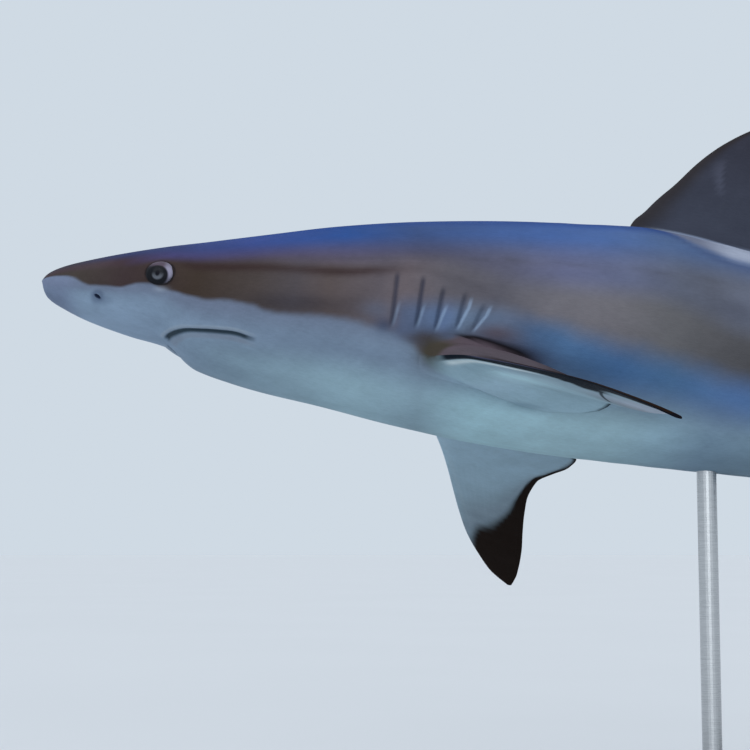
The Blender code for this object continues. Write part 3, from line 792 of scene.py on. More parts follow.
# gill slits: signed distance to the nearest one, in millimetres, and how open it is there
gill_front = np.full(len(P), 40.0)     # distance to the nearest slit's line
gill_rear = np.full(len(P), 40.0)      # and to the nearest slit's rear lip
gill_open = np.zeros(len(P))
gill_low = np.zeros(len(P))            # where the rear lip catches the light
for number, (s0, z0, s1, z1) in enumerate(GILLS):
    t = (Z - z0) / (z1 - z0)
    bow = 0.0012 * (1 - (2 * np.clip(t, 0, 1) - 1) ** 2)
    line = s0 + (s1 - s0) * np.clip(t, -0.2, 1.2) - bow * 0.0
    d = (X - line) / mm
    height = (z1 - z0) / mm
    open_here = step01(t * height, -1.5, 4.0) * (1 - step01(t * height, height - 5.0, height + 1.5))
    open_here = open_here * (KIND == 0) * (np.abs(Y) > 0.03)
    dark_here = (0.95, 1.0, 0.85, 0.70, 0.40)[number]
    gill_front = np.minimum(gill_front, np.where(KIND == 0, np.abs(d), 40.0))
    lean = 0.5 + 4.6 * np.clip(t / 0.60, 0, 1)      # the lit lip slants away from the slit
    gill_rear = np.minimum(gill_rear, np.where(KIND == 0, np.abs(d - lean), 40.0))
    gill_open = np.maximum(gill_open, dark_here * open_here * hump(d, 0.0, 7.0))
    move += open_here * (-1.8 * hump(d, 0.3, 1.15) + 0.7 * hump(d, -4.2, 3.2)
                         - 0.8 * hump(d, 3.0, 2.2))
    low_part = 1 - step01(t, *((0.30, 0.50), (0.30, 0.50), (0.45, 0.65), (0.70, 0.95),
                               (0.80, 1.05))[number])
    gill_low = np.maximum(gill_low, (0.45, 0.60, 0.75, 1.0, 1.0)[number] * low_part * open_here * hump(d, lean, 3.5))
# the low hollow the slits lie in, with a soft ridge over their tops
arc_z = through(((0.17, 0.0090), (0.183, 0.0104), (0.195, 0.0100), (0.205, 0.0072),
                 (0.216, 0.0048), (0.226, 0.0006), (0.234, -0.0060)), 1, np.clip(X, 0.17, 0.234))
arc_d = (Z - arc_z) / mm
in_arc = step01(X, 0.174, 0.182) * (1 - step01(X, 0.227, 0.236)) * (KIND == 0) * (np.abs(Y) > 0.03)
move += in_arc * (-0.45 * hump(arc_d, 0.0, 3.0) + 0.3 * hump(arc_d, 6.0, 4.5))

# mouth: signed distance along the surface from the mouth line, in millimetres
mouth_z = through(MOUTH, 1, np.clip(X, 0.060, 0.130))
body_vert = (KIND == 0)
ex = 5e-4
around = surface(np.clip(C, 0.002, 0.2), A)
slope_s = (surface(np.clip(C, 0.002, 0.2) + ex, A)[:, 2] - surface(np.clip(C, 0.002, 0.2) - ex, A)[:, 2]) / (2 * ex)
slope_line = (through(MOUTH, 1, np.clip(X + ex, 0.06, 0.13)) - through(MOUTH, 1, np.clip(X - ex, 0.06, 0.13))) / (2 * ex)
da = 0.4
up_pt, dn_pt = surface(np.clip(C, 0.002, 0.2), A + da), surface(np.clip(C, 0.002, 0.2), A - da)
slope_a = (up_pt[:, 2] - dn_pt[:, 2]) / (np.linalg.norm(up_pt - dn_pt, axis=1) + 1e-9)
steep = np.sqrt((slope_s - slope_line) ** 2 + slope_a ** 2)
mouth_d = np.clip((Z - mouth_z) / np.maximum(steep, 0.30) / mm, -30, 30)
in_mouth = (step01(X, MOUTH_FRONT - 0.0012, MOUTH_FRONT + 0.0008)
            * (1 - 0.55 * step01(X, MOUTH_CORNER - 0.009, MOUTH_CORNER - 0.003))
            * (1 - step01(X, MOUTH_CORNER - 0.003, MOUTH_CORNER + 0.0012))
            * (Z < 0) * body_vert)
mouth_d = np.where(body_vert & (X > 0.05) & (X < 0.14) & (Z < 0), mouth_d, 30.0)
wide = 1.0 + 0.5 * (1 - step01(X, 0.075, 0.105))
in_mouth = in_mouth * (0.05 + 0.95 * step01(np.abs(Y), 0.0030, 0.0105))
move += in_mouth * (-2.6 * hump(mouth_d, -0.3, 1.5 * wide) + 0.9 * hump(mouth_d, 4.0, 2.6)
                    - 0.8 * hump(mouth_d, -4.5, 3.0))
# fold behind the corner of the mouth
corner = hump(X, 0.1185, 0.0045) * hump(Z, -0.0312, 0.0030) * body_vert
move += 0.9 * corner

# brow and cheek round the eye; soft hollow in front of it
eye_r = np.hypot((X - OPENING_AT[0]) * TL / EYE_OPENING[0], (Z - OPENING_AT[1]) * TL / EYE_OPENING[1])
eye_side = (np.abs(Y) > 0.02) & (KIND != 0) & (KIND % 10 == 0) & (KIND >= 20)
eye_zone = ((np.abs(Y) > 0.015) & ((KIND == 0) | eye_side) & (X < 0.12))
move += np.where(eye_zone & (eye_r > 0.99), 0.55 * hump(eye_r, 1.12, 0.16) - 0.35 * hump(eye_r, 1.75, 0.35), 0)
# nostril flap: a raised edge in front of the opening
nx, nz = (X - NOSTRIL_AT[0]) / mm, (Z + 0.0129) / mm
nose_side = (np.abs(Y) > 0.012) & (X < 0.06) & ((KIND == 0) | (KIND >= 20))
nd = nx * math.cos(-0.55) + nz * math.sin(-0.55) * -1
ne = nx * math.sin(-0.55) + nz * math.cos(-0.55)
rim_n = np.hypot(nx / 4.6, nz / 3.4)
move += np.where(nose_side, 0.25 * hump(rim_n, 1.25, 0.4) * (rim_n > 0.95), 0)
# pit at the root of the tail, upper and lower
move += np.where(KIND == 0, -1.8 * hump(C, 0.7345, 0.0022) * step01(A % 360, 55, 75)
                 * (1 - step01(A % 360, 105, 125)), 0)
# faint muscle bands and the lateral line
lateral_z = through(((0.09, 0.0060), (0.20, 0.0180), (0.32, 0.0230), (0.45, 0.0160), (0.60, 0.0100),
                     (0.735, 0.0065)), 1, np.clip(X, 0.09, 0.735))
lateral_d = (Z - lateral_z) / mm
in_lateral = step01(X, 0.10, 0.14) * (KIND == 0) * (X < 0.735)
move += in_lateral * -0.22 * hump(lateral_d, 0, 1.6)
bands = np.sin(X * TL * 2 * math.pi / 0.034 + 2.2 * np.abs(Z) / 0.02)
move += np.where((KIND == 0) & (X > 0.26) & (X < 0.72), 0.10 * bands, 0)
# thin rays seen as ridges on the fins
rays = fin_kind & (V > 0.12)
move += np.where(rays, 0.05 * np.sin(U * 2 * math.pi * 16) * (1 - U) * (U > 0.1), 0)

P = P + N * (move * mm)[:, None]

# ------------------------------------------------------------------ markings
# everything below is in straight-frame terms: X station, A angle, fin shares U and V


def rgb(*c):
    """Screen colour 0-255 to linear."""
    c = np.array(c, float) / 255
    return np.where(c <= 0.04045, c / 12.92, ((c + 0.055) / 1.055) ** 2.4)


def mix(a, b, t):
    t = np.clip(np.asarray(t, float), 0, 1)[..., None]
    return a * (1 - t) + b * t


PALE_UP = rgb(106, 116, 136)       # cheeks, just under the dark side
PALE = rgb(120, 137, 157)
PALE_LOW = rgb(150, 176, 188)      # belly
SNOUT = rgb(113, 124, 149)
SLATE = rgb(60, 63, 75)
BLACK = rgb(31, 20, 13)
FIN_BROWN = rgb(87, 76, 84)
STRIPE = rgb(53, 40, 40)
# painted reflection: blue light along the ridge of the back
RIDGE_REFLECTION = rgb(30, 60, 122)             # along the ridge of the back


def tones(x, *stops):
    """Colour that changes smoothly from tone to tone along x."""
    at = [stop[0] for stop in stops]
    lin = np.array([rgb(*stop[1]) for stop in stops])
    return np.stack([np.interp(x, at, lin[:, k]) for k in range(3)], -1)


phi = np.where(A > 90, 180 - A, A)                 # same on both sides
phi = np.where(A > 270, A - 360, phi)
n_body = len(P)

# soft cloudiness, fixed
def cloud(scale, seed):
    k = np.array([[1.0, 0.7, -0.4], [-0.6, 1.1, 0.9], [0.8, -0.5, 1.3], [-1.2, -0.9, 0.3]]) * scale
    out = 0
    for n, row in enumerate(k):
        out = out + np.sin(P @ row * (1 + 0.37 * n) + seed * (n + 1) * 1.7 + 1.3 * np.sin(P @ row[::-1] * 0.7 + seed))
    return out / 4


c_big, c_mid, c_small = cloud(40, 1.0), cloud(120, 2.0), cloud(420, 3.0)

dark_edge = through(((0.000, 22.0), (0.006, 12.0), (0.020, 1.0), (0.031, -14.0), (0.046, -14.0),
                     (0.056, -9.0), (0.062, -9.0), (0.068, -13.5), (0.076, -11.0),
                     (0.103, -10.5), (0.113, -12.0), (0.122, -16.0), (0.156, -16.5),
                     (0.180, -18.5), (0.193, -24.0), (0.202, -32.0), (0.210, -31.0),
                     (0.222, -26.0), (0.233, -3.5), (0.255, -7.0), (0.280, -13.0),
                     (0.315, -20.0), (0.351, -26.0), (0.40, -29.0), (0.46, -25.0),
                     (0.53, -16.0), (0.60, -11.0), (0.68, -10.0), (0.735, -14.0), (1.01, -14.0)),
                    1, C)
edge_soft = through(((0.00, 3.0), (0.03, 2.6), (0.07, 1.8), (0.11, 2.2), (0.18, 3.0), (0.22, 4.0),
                     (0.26, 5.5), (0.32, 7.0), (0.45, 8.0), (0.735, 8.0), (1.01, 8.0)), 1, C)
wobble = 1.2 * c_mid + 0.6 * c_small
dark = step01(phi + wobble, dark_edge - 1.35 * edge_soft, dark_edge + 1.35 * edge_soft)

# pale side: brighter towards the belly
pale = mix(PALE_UP, PALE, step01(-phi, 12, 34))
belly = tones(C, (0.10, (148, 174, 187)), (0.138, (150, 176, 189)), (0.168, (161, 190, 202)), (0.20, (149, 175, 188)), (0.228, (176, 212, 222)),
              (0.265, (180, 214, 224)), (0.295, (172, 204, 215)), (0.315, (162, 193, 208)),
              (0.34, (136, 162, 182)), (0.40, (132, 156, 172)), (0.735, (146, 172, 184)))
pale = mix(pale, belly, step01(-phi, 34, 62) * step01(C, 0.05, 0.16))
pale = mix(pale, rgb(143, 163, 185), step01(-phi, 18, 50) * (1 - step01(C, 0.046, 0.100)))
pale = mix(pale, SNOUT, 0.8 * (1 - step01(C, 0.012, 0.028)))
# the pale wedge on the flank, partly its own tone and partly painted blue reflected light
wedge = step01(C, 0.228, 0.252) * (1 - step01(C, 0.50, 0.66))
wedge_low = through(((0.22, -30.0), (0.26, -38.0), (0.33, -44.0), (0.40, -50.0), (0.60, -40.0)),
                    1, np.clip(C, 0.22, 0.60))
wedge_reflection_tone = tones(C, (0.245, (76, 98, 130)), (0.265, (82, 116, 156)), (0.290, (68, 102, 144)),
                   (0.315, (74, 107, 144)), (0.345, (84, 116, 162)), (0.50, (78, 108, 148)))
pale = mix(pale, wedge_reflection_tone, 0.95 * wedge * step01(phi, wedge_low - 10, wedge_low + 14))

# a soft shade on the flank under the left fin's tip
pale = pale * (1 - 0.20 * hump(C, 0.3036, 0.020) * hump(phi, -49.7, 9.0) * (Y < 0))[:, None]

# dark side: brown low down, cooler and bluer towards the back; the blue over the back is partly painted light from
# above
stripe_at = through(((0.05, 9.0), (0.08, 17.0), (0.11, 17.0), (0.154, 13.0), (0.18, 15.0),
                     (0.20, 16.0), (0.24, 6.0), (0.30, 4.0), (0.34, -6.0)), 1, np.clip(C, 0.05, 0.34))
low = tones(C, (0.025, (66, 59, 56)), (0.048, (61, 50, 51)), (0.085, (61, 51, 45)), (0.115, (71, 63, 61)), (0.134, (79, 73, 76)), (0.150, (86, 76, 75)),
            (0.175, (91, 84, 89)), (0.187, (100, 91, 95)), (0.205, (90, 86, 92)), (0.230, (88, 86, 94)),
            (0.260, (109, 106, 112)), (0.285, (109, 106, 111)), (0.310, (96, 95, 98)),
            (0.330, (87, 86, 89)), (0.370, (68, 67, 70)), (0.735, (84, 82, 88)))
high = tones(C, (0.03, (70, 59, 63)), (0.045, (65, 52, 58)), (0.07, (68, 63, 101)), (0.12, (76, 68, 86)), (0.155, (82, 77, 97)),
             (0.19, (75, 73, 90)), (0.235, (87, 87, 104)), (0.262, (95, 98, 124)), (0.288, (93, 98, 122)),
             (0.315, (87, 91, 105)), (0.330, (86, 89, 101)), (0.346, (94, 98, 112)), (0.40, (84, 88, 106)), (0.735, (84, 86, 102)))
top = tones(C, (0.02, (60, 56, 66)), (0.045, (52, 58, 92)), (0.07, (54, 62, 100)), (0.108, (57, 72, 126)), (0.155, (46, 75, 131)),
            (0.19, (58, 76, 116)), (0.255, (67, 92, 142)), (0.28, (72, 96, 143)), (0.31, (74, 93, 127)), (0.45, (60, 76, 112)),
            (0.735, (68, 75, 98)))
back = mix(low, high, step01(phi, stripe_at, stripe_at + 14))
back = mix(back, top, step01(phi, 22, 44))
# painted reflection of blue light along the ridge of the back
back = mix(back, RIDGE_REFLECTION, 0.80 * step01(phi, 48, 66) * (1 - step01(C, 0.50, 0.60)) * step01(C, 0.01, 0.05))
back = mix(back, rgb(58, 68, 94), 0.75 * step01(phi, 64, 82))
stripe = (hump(phi, stripe_at, 3.8 - 1.0 * step01(C, 0.09, 0.18)) * step01(C, 0.070, 0.085)
          * (1 - step01(C, 0.165, 0.200)))
back = mix(back, STRIPE, 0.85 * stripe * (1 - 0.22 * hump(C, 0.130, 0.014) - 0.10 * step01(C, 0.14, 0.18)))
back = mix(back, rgb(46, 44, 52), 0.53 * hump(C, 0.137, 0.024) * hump(phi, -8.0, 7.0))
back = mix(back, rgb(64, 66, 78), 0.40 * hump(C, 0.342, 0.010) * hump(phi, 10.0, 5.0))
body_colour = mix(pale, back, dark)

# gill region: blue-grey lower down between the slits, dark over and under them
gill_patch = (step01(C, 0.180, 0.188) * (1 - step01(C, 0.226, 0.244)) * step01(phi, -28, -19)
              * (1 - step01(phi, -9.0, 5.0)))
panels = tones(C, (0.186, (80, 92, 117)), (0.198, (84, 102, 131)), (0.209, (94, 116, 151)),
               (0.219, (100, 119, 143)), (0.232, (90, 108, 134)))
body_colour = mix(body_colour, panels, 0.85 * gill_patch)
body_colour = mix(body_colour, rgb(90, 94, 110), 0.70 * hump(C, 0.175, 0.008) * hump(phi, -8.5, 5.5))
body_colour = mix(body_colour, rgb(56, 70, 96), 0.65 * hump(C, 0.179, 0.005) * hump(phi, -17.5, 5.0))
# painted shade along the hollow over the tops of the slits
body_colour = mix(body_colour, rgb(58, 54, 60), 0.14 * in_arc * hump(arc_d, 0.8, 4.6))
under_gill = (step01(C, 0.184, 0.194) * (1 - step01(C, 0.228, 0.242)) * hump(phi, -23.0, 3.2))
body_colour = mix(body_colour, rgb(80, 84, 98), 0.75 * under_gill)
# painted shade on the flank just over the front of the pectoral fin
body_colour = mix(body_colour, rgb(90, 73, 76), 0.70 * hump(C, 0.234, 0.009) * hump(phi, -15.0, 5.0))
body_colour = mix(body_colour, rgb(68, 64, 68), 0.90 * step01(C, 0.190, 0.200) * (1 - step01(C, 0.220, 0.232))
                  * hump(phi, -21.8, 4.6))
# shade on the flank over the pectoral fin and close over the fin's foot
body_colour = mix(body_colour, rgb(64, 59, 74), 0.75 * hump(C, 0.238, 0.026) * hump(phi, through(
    ((0.20, -20.0), (0.235, -22.0), (0.26, -27.0), (0.29, -35.0)), 1, np.clip(C, 0.20, 0.29)), 5.5))
foot = (KIND == 0) & (V < 0) & (V > -1.0) & (X > 0.19) & (X < 0.30)
foot_edge = through(((0.19, 0.30), (0.2125, 0.22), (0.2160, 0.06), (0.2180, -0.12), (0.2205, -0.42), (0.224, -0.60),
                     (0.230, -0.60), (0.236, -0.48), (0.30, -0.50)), 1, np.clip(X, 0.19, 0.30))
crease_shadow = through(((0.19, 0.10), (0.2140, 0.04), (0.2175, -0.04), (0.2205, -0.30), (0.2245, -0.52), (0.230, -0.55),
                  (0.240, -0.46), (0.30, -0.48)), 1, np.clip(X, 0.19, 0.30))
body_colour = mix(body_colour, FIN_BROWN, foot * step01(SIDE, 0.15, 0.5) * step01(V, foot_edge - 0.20, foot_edge + 0.20)
                  * (1 - step01(X, 0.244, 0.262)))
# painted shadow: a dark line on the body just over the fin's foot, behind its upper edge
body_colour = mix(body_colour, rgb(22, 20, 24), 0.95 * foot * step01(SIDE, 0.2, 0.6)
                  * hump(V, crease_shadow, 0.31) * step01(X, 0.2110, 0.2190) * (1 - step01(X, 0.244, 0.259)))
# painted shade on the belly behind the pectoral fin's foot
body_colour = mix(body_colour, rgb(98, 124, 142), 0.50 * hump(C, 0.2518, 0.0085) * hump(phi, -51.5, 3.6))
# small pale patch under the eye, dark skin close round it
body_colour = mix(body_colour, rgb(150, 160, 176), 0.55 * hump(X, 0.0672, 0.0036) * hump(Z, -0.0096, 0.0014))
body_colour = mix(body_colour, rgb(24, 24, 28), 0.85 * np.where(eye_zone, hump(eye_r, 1.02, 0.09), 0))
# upper edge of the tail lobe dusky
tail_zone = step01(C, 0.75, 0.80)
body_colour = mix(body_colour, SLATE, 0.75 * tail_zone * step01(phi, 30, 62))
body_colour = mix(body_colour, rgb(92, 98, 112), 0.70 * tail_zone * (1 - step01(phi, 30, 62)))
body_colour = mix(body_colour, BLACK, 0.80 * step01(C, 0.935, 0.985))
body_colour = mix(body_colour, BLACK, 0.55 * tail_zone * step01(-phi, 74, 86))
# painted light: a light band along the foot of the first dorsal fin, where light from above catches it, with a thin
# dark line under it
at_dorsal = step01(X, 0.302, 0.312) * (1 - step01(X, 0.404, 0.412)) * (Z > 0.04)
lit_band_at = through(((0.302, 74.0), (0.311, 69.0), (0.328, 52.3), (0.346, 46.2), (0.354, 46.2),
                   (0.366, 53.0), (0.385, 70.0), (0.40, 78.0)), 1, np.clip(C, 0.302, 0.40))
lit_band_at = lit_band_at + np.where(Y > 0, 1.0, 0.0) * (84.0 - lit_band_at) * 0.75
under_fin = step01(C, 0.304, 0.322) * (1 - step01(C, 0.356, 0.396)) * (KIND == 0)
body_colour = mix(body_colour, mix(rgb(107, 111, 127), rgb(150, 156, 172), step01(C, 0.326, 0.345)),
                  0.92 * under_fin * step01(phi, lit_band_at - 8.0, lit_band_at + 0.5))
body_colour = mix(body_colour, rgb(60, 70, 100), 0.45 * under_fin * hump(phi, lit_band_at - 9.5, 2.6))
skirt = (KIND == 0) & (V < 0) & (V > -1.0)
body_colour = mix(body_colour, rgb(150, 163, 188), at_dorsal * skirt * 0.8 * step01(V, -0.45, -0.1))
body_colour = mix(body_colour, rgb(52, 56, 74), at_dorsal * skirt * 0.6 * hump(V, -0.72, 0.2))

colour = body_colour.copy()


def paint(kinds, value):
    sel = np.isin(KIND, kinds)
    colour[sel] = value[sel]


# pectoral: brown above, pale below, the tip and rear margin black
tip_line = through(((0.0, 0.79), (0.05, 0.775), (0.31, 0.70), (0.535, 0.67), (0.715, 0.615),
                    (0.873, 0.52), (0.93, 0.42), (0.965, 0.28), (0.985, 0.17), (1.0, 0.12)), 1, U)
black_low = step01(V + 0.016 * c_mid, tip_line - 0.045, tip_line + 0.028)
low_face = mix(rgb(163, 190, 206), rgb(146, 168, 181), step01(V, 0.35, 0.7))
low_face = mix(low_face, rgb(153, 181, 194), 0.9 * (KIND == 15) * (1 - step01(V, 0.40, 0.52)) * (1 - step01(U, 0.22, 0.42)))
low_face = mix(low_face, rgb(194, 228, 238), 0.9 * (KIND == 15) * hump(V, 0.42, 0.20) * step01(U, 0.16, 0.34) * (1 - step01(U, 0.55, 0.9)))
low_face = mix(low_face, rgb(160, 189, 202), 0.85 * (KIND == 15) * step01(U, 0.40, 0.70) * (1 - step01(V, 0.6, 0.7)))
low_face = mix(low_face, rgb(124, 133, 144), 0.45 * (KIND != 15) * hump(V, tip_line - 0.05, 0.07))
top_face = mix(FIN_BROWN, rgb(84, 76, 82), step01(V, 0.10, 0.30))
top_face = mix(top_face, rgb(54, 48, 52), step01(V, 0.38, 0.58))
top_face = mix(top_face, rgb(34, 31, 33), step01(U, 0.45, 0.85) * step01(V, 0.12, 0.26))
top_face = mix(top_face, BLACK, 0.95 * step01(V + 0.012 * c_mid, 0.52, 0.70))
is_top = step01(SIDE, -0.05, 0.10)
is_top = is_top * (1 - (KIND == 15) * step01(U, 0.95, 0.99) * (SIDE < 0.6) * (1 - step01(V, 0.16, 0.24)))
# on the left fin a painted shadow runs along the front edge, with a painted highlight line behind it
left = KIND == 15
front_shadow_width = through(((0.0, 0.035), (0.35, 0.035), (0.50, 0.048), (0.60, 0.080), (0.70, 0.115), (0.745, 0.18),
                  (0.775, 0.40), (0.805, 0.42), (0.84, 0.28), (0.88, 0.34), (0.92, 0.50), (0.96, 0.80), (1.0, 1.0)), 1, V)
front_edge_shadow = left * (1 - step01(U, front_shadow_width * 0.8, front_shadow_width * 1.15)) * step01(V, 0.10, 0.22)
front_edge_highlight = hump(U, front_shadow_width + 0.032, 0.026) * (1 - step01(V, 0.60, 0.74)) * step01(V, 0.13, 0.20)
low_face = mix(low_face, rgb(222, 234, 236), (0.05 + 0.80 * left) * front_edge_highlight * step01(U, 0.012, 0.02))
# the tip's black: on the left fin a paler strip is left along its rear edge
low_face = mix(low_face, BLACK, 0.99 * np.where(left, step01(V, 0.945, 0.99), black_low))
low_face = mix(low_face, rgb(20, 32, 42), 0.90 * left * step01(U, 0.965, 0.992) * step01(V, 0.12, 0.17)
               * (1 - step01(V, 0.27, 0.36)))
low_face = mix(low_face, rgb(15, 21, 31), 0.987 * front_edge_shadow)
low_face = mix(low_face, rgb(82, 82, 108), 0.75 * left * (1 - step01(U, 0.003, 0.010)) * step01(V, 0.38, 0.48)
               * (1 - step01(V, 0.70, 0.80)))
low_face = mix(low_face, rgb(178, 184, 200), 0.60 * left * step01(U, 0.35, 0.75) * step01(V, 0.66, 0.76) * (1 - step01(V, 0.93, 0.98)))
low_face = low_face * (1 - 0.26 * left * step01(U, 0.40, 0.70) * step01(V, 0.64, 0.71) * (1 - step01(V, 0.74, 0.79)))[:, None]
pect = mix(low_face, top_face, is_top)
late = 0.06 * is_top * (1 - step01(U, 0.09, 0.27))
pect = mix(body_colour, pect, step01(V, 0.02 - 0.045 * is_top + late, 0.07 - 0.06 * is_top + 1.1 * late))
# painted shade on the left fin's underside near the rear of its foot
pect = mix(pect, rgb(112, 140, 158), 0.55 * left * hump(V, 0.075, 0.030) * hump(U, 0.78, 0.09) * (SIDE < 0))
# painted light: lighter along the lower joint, where the fin runs into the flank, filling in the shade there
joint_fill_light = np.where(left, (1 - step01(V, 0.02, 0.09)) * (SIDE < -0.3), 0)
joint_fill_light = np.where((KIND == 0) & (Y < 0) & (X > 0.19) & (X < 0.30) & (V > -1) & (V < 0) & (SIDE < -0.3),
                 step01(V, -0.60, -0.05), joint_fill_light)
paint([5, 15], pect)
colour = colour * (1 + 0.20 * joint_fill_light)[:, None]
# the dark brown patch where the fin's front edge springs from the body
patch = (1.40 * hump(X, 0.2054, 0.0082) * hump(Z, -0.0296, 0.0060)
         * ((KIND == 0) | np.isin(KIND, [5, 15])) * (1 - step01(V, 0.13, 0.20)) * (np.abs(Y) > 0.03))
colour = mix(colour, rgb(65, 60, 51), np.clip(patch, 0, 0.94))
# first dorsal: dark slate, darker than the back partly as painted shade, black tip
dors = mix(SLATE, rgb(53, 53, 63), step01(V, 0.3, 0.8))
dors = mix(dors, rgb(46, 40, 37), 0.7 * (1 - step01(U, 0.02, 0.14)))
dors = mix(dors, BLACK, 0.75 * step01(V + 0.15 * (U - 0.5), 0.80, 0.93))
# a pale streak on its left side, soft in front and sharp behind
along = U + 0.98 * V - 0.740
streak = (step01(along, -0.045 - 0.045 * step01(V, 0.49, 0.54), -0.006) * (1 - step01(along, 0.004, 0.034)) * (SIDE < 0.3)
          * step01(V, 0.42, 0.50) * (1 - step01(V, 0.565, 0.60)))
dors = dors * (1 + 0.56 * streak)[:, None]
# painted light: the same light band on the fin's own foot
dorsal_lit_band = (1 - step01(V, 0.088 + 0.022 * U, 0.110 + 0.030 * U)) * step01(U, 0.02, 0.20)
dors = mix(dors, rgb(150, 163, 188), 0.85 * dorsal_lit_band)
paint([1], dors)
grey_fin = mix(rgb(78, 82, 96), BLACK, 0.9 * step01(V + 0.2 * (U - 0.5), 0.62, 0.78))
paint([2], mix(body_colour, grey_fin, step01(V, 0.12, 0.22)))
paint([3], mix(body_colour, mix(PALE, rgb(150, 168, 182), step01(V, 0.4, 0.9)), step01(V, 0.12, 0.22)))
pelv = mix(mix(PALE_LOW, rgb(120, 128, 142), 0.6 * step01(SIDE, -0.2, 0.4)), BLACK,
           0.95 * step01(V + 0.25 * (U - 0.5), 0.66, 0.80))
paint([6, 16], mix(body_colour, pelv, step01(V, 0.15, 0.30)))
low_lobe = mix(rgb(92, 98, 112), BLACK, 0.95 * step01(V + 0.08 * (U - 0.5), 0.74, 0.88))
paint([4], mix(body_colour, low_lobe, step01(V, 0.02, 0.20)))
# painted shade: the eye socket and nostril are darkened inside
for k in (20, 30):
    sel = (KIND == k)
    colour[sel] = mix(colour[sel], rgb(20, 20, 22), step01(V[sel], 0.1, 1.5))
    colour[sel] = mix(colour[sel], rgb(34, 33, 36), 0.75 * (U[sel] < 1.0))
for k in (21, 31):
    sel = (KIND == k)
    colour[sel] = mix(colour[sel], rgb(44, 54, 78), step01(V[sel], -0.3, 0.9) * (U[sel] < 1.01))
# soft shade round the nostril, drawn out behind it
shade = 0.46 * hump(rim_n, 0.70, 0.62) + 0.24 * hump(nx, 7.0, 4.5) * hump(nz, -2.6, 2.6)
colour = mix(colour, rgb(56, 68, 98), nose_side * np.clip(shade, 0, 0.75))
colour = colour * (1 + 0.05 * c_mid + 0.035 * c_small)[:, None]
colour = np.clip(colour, 0.002, 1)

# ------------------------------------------------------------------ the skin object
# the front edge of the first dorsal runs straight down to the back, with a low toe in front
toe = through(((-1.0, -3.0), (-0.75, -4.6), (-0.25, -5.6), (0.0, -5.8), (0.118, -5.8), (0.140, -5.2),
               (0.163, -4.5), (0.186, -3.3), (0.209, -2.0), (0.232, -0.9), (0.256, -0.2), (0.280, 0.2),
               (0.305, 0.4), (0.354, 0.9), (0.43, 0.8), (0.60, 0.0)), 1, np.clip(V, -1.0, 0.60))
toe_zone = ((KIND == 1) | ((KIND == 0) & (V < 0) & (V > -1.0) & (X > 0.29) & (X < 0.42) & (Z > 0.04)))
P[:, 0] += toe_zone * (1 - step01(U, 0.0, 0.24)) * toe * mm
world = posed(P)
mesh = bpy.data.meshes.new("shark_skin")
mesh.from_pydata(world.tolist(), [], [tuple(int(v) for v in f) for f in faces])
uv_layer = mesh.uv_layers.new(name="OFBake")
flat_uv = np.array([c for f in face_uv for c in f], dtype=np.float32)
island_rows = flat_uv.ravel()
uv_layer.data.foreach_set("uv", island_rows)


def store(name, values, kind="FLOAT"):
    layer = mesh.attributes.new(name, kind, "POINT")
    if kind == "FLOAT":
        layer.data.foreach_set("value", np.asarray(values, np.float32))
    elif kind == "FLOAT_COLOR":
        rgba = np.ones((len(values), 4), np.float32)
        rgba[:, :3] = values
        layer.data.foreach_set("color", rgba.ravel())
    else:
        layer.data.foreach_set("vector", np.asarray(values, np.float32).ravel())


store("marking", colour, "FLOAT_COLOR")
store("straight", np.stack([X, Y, Z], -1) * TL, "FLOAT_VECTOR")
store("mouth_mm", mouth_d)
store("mouth_open", in_mouth)
store("gill_front", gill_front)
store("gill_rear", gill_rear)
store("gill_open", gill_open)
store("gill_low", gill_low)
store("pec_left", np.stack([U, V, np.where((KIND == 15) & (SIDE < 0.2), 1.0, 0.0)], -1), "FLOAT_VECTOR")
store("lateral", in_lateral * hump(lateral_d, 0, 1.3))
mesh.polygons.foreach_set("use_smooth", np.ones(len(faces), bool))
mesh.validate()
# points of the cells cut out for the fins and eyes aren't part of the skin
bm = bmesh.new()
bm.from_mesh(mesh)
bmesh.ops.delete(bm, geom=[v for v in bm.verts if not v.link_faces], context="VERTS")
bm.to_mesh(mesh)
bm.free()
mesh.update()
skin = bpy.data.objects.new("shark_skin", mesh)
bpy.context.scene.collection.objects.link(skin)


# ------------------------------------------------------------------ node helpers
def new_material(name):
    mat = bpy.data.materials.new(name)
    mat.use_nodes = True
    nt = mat.node_tree
    return mat, nt, nt.nodes["Principled BSDF"]


def node(nt, kind, **settings):
    n = nt.nodes.new(kind)
    for key, value in settings.items():
        if key.startswith("in_"):
            name = key[3:]
            n.inputs[int(name) if name.isdigit() else name].default_value = value
        else:
            setattr(n, key, value)
    return n


def attribute(nt, name):
    return node(nt, "ShaderNodeAttribute", attribute_name=name)


def math_node(nt, how, a, b=None, c=None):
    n = node(nt, "ShaderNodeMath", operation=how)
    for k, value in enumerate((a, b, c)):
        if value is None:
            continue
        if isinstance(value, (int, float)):
            n.inputs[k].default_value = value
        else:
            nt.links.new(value, n.inputs[k])
    return n.outputs[0]


def ramp(nt, value, low, high, out_low=0.0, out_high=1.0):
    n = node(nt, "ShaderNodeMapRange", interpolation_type="SMOOTHSTEP")
    nt.links.new(value, n.inputs[0])
    for k, x in enumerate((low, high, out_low, out_high)):
        n.inputs[k + 1].default_value = x
    return n.outputs[0]


def mix_colour(nt, factor, a, b, blend="MIX"):
    n = node(nt, "ShaderNodeMix", data_type="RGBA", blend_type=blend)
    for socket, value in ((n.inputs[0], factor), (n.inputs[6], a), (n.inputs[7], b)):
        if isinstance(value, (int, float)):
            socket.default_value = value
        elif isinstance(value, tuple):
            socket.default_value = value
        else:
            nt.links.new(value, socket)
    return n.outputs[2]


def noise(nt, vector, scale, detail=3.0, rough=0.55):
    n = node(nt, "ShaderNodeTexNoise", in_Scale=scale, in_Detail=detail, in_Roughness=rough)
    nt.links.new(vector, n.inputs["Vector"])
    return n.outputs["Fac"]


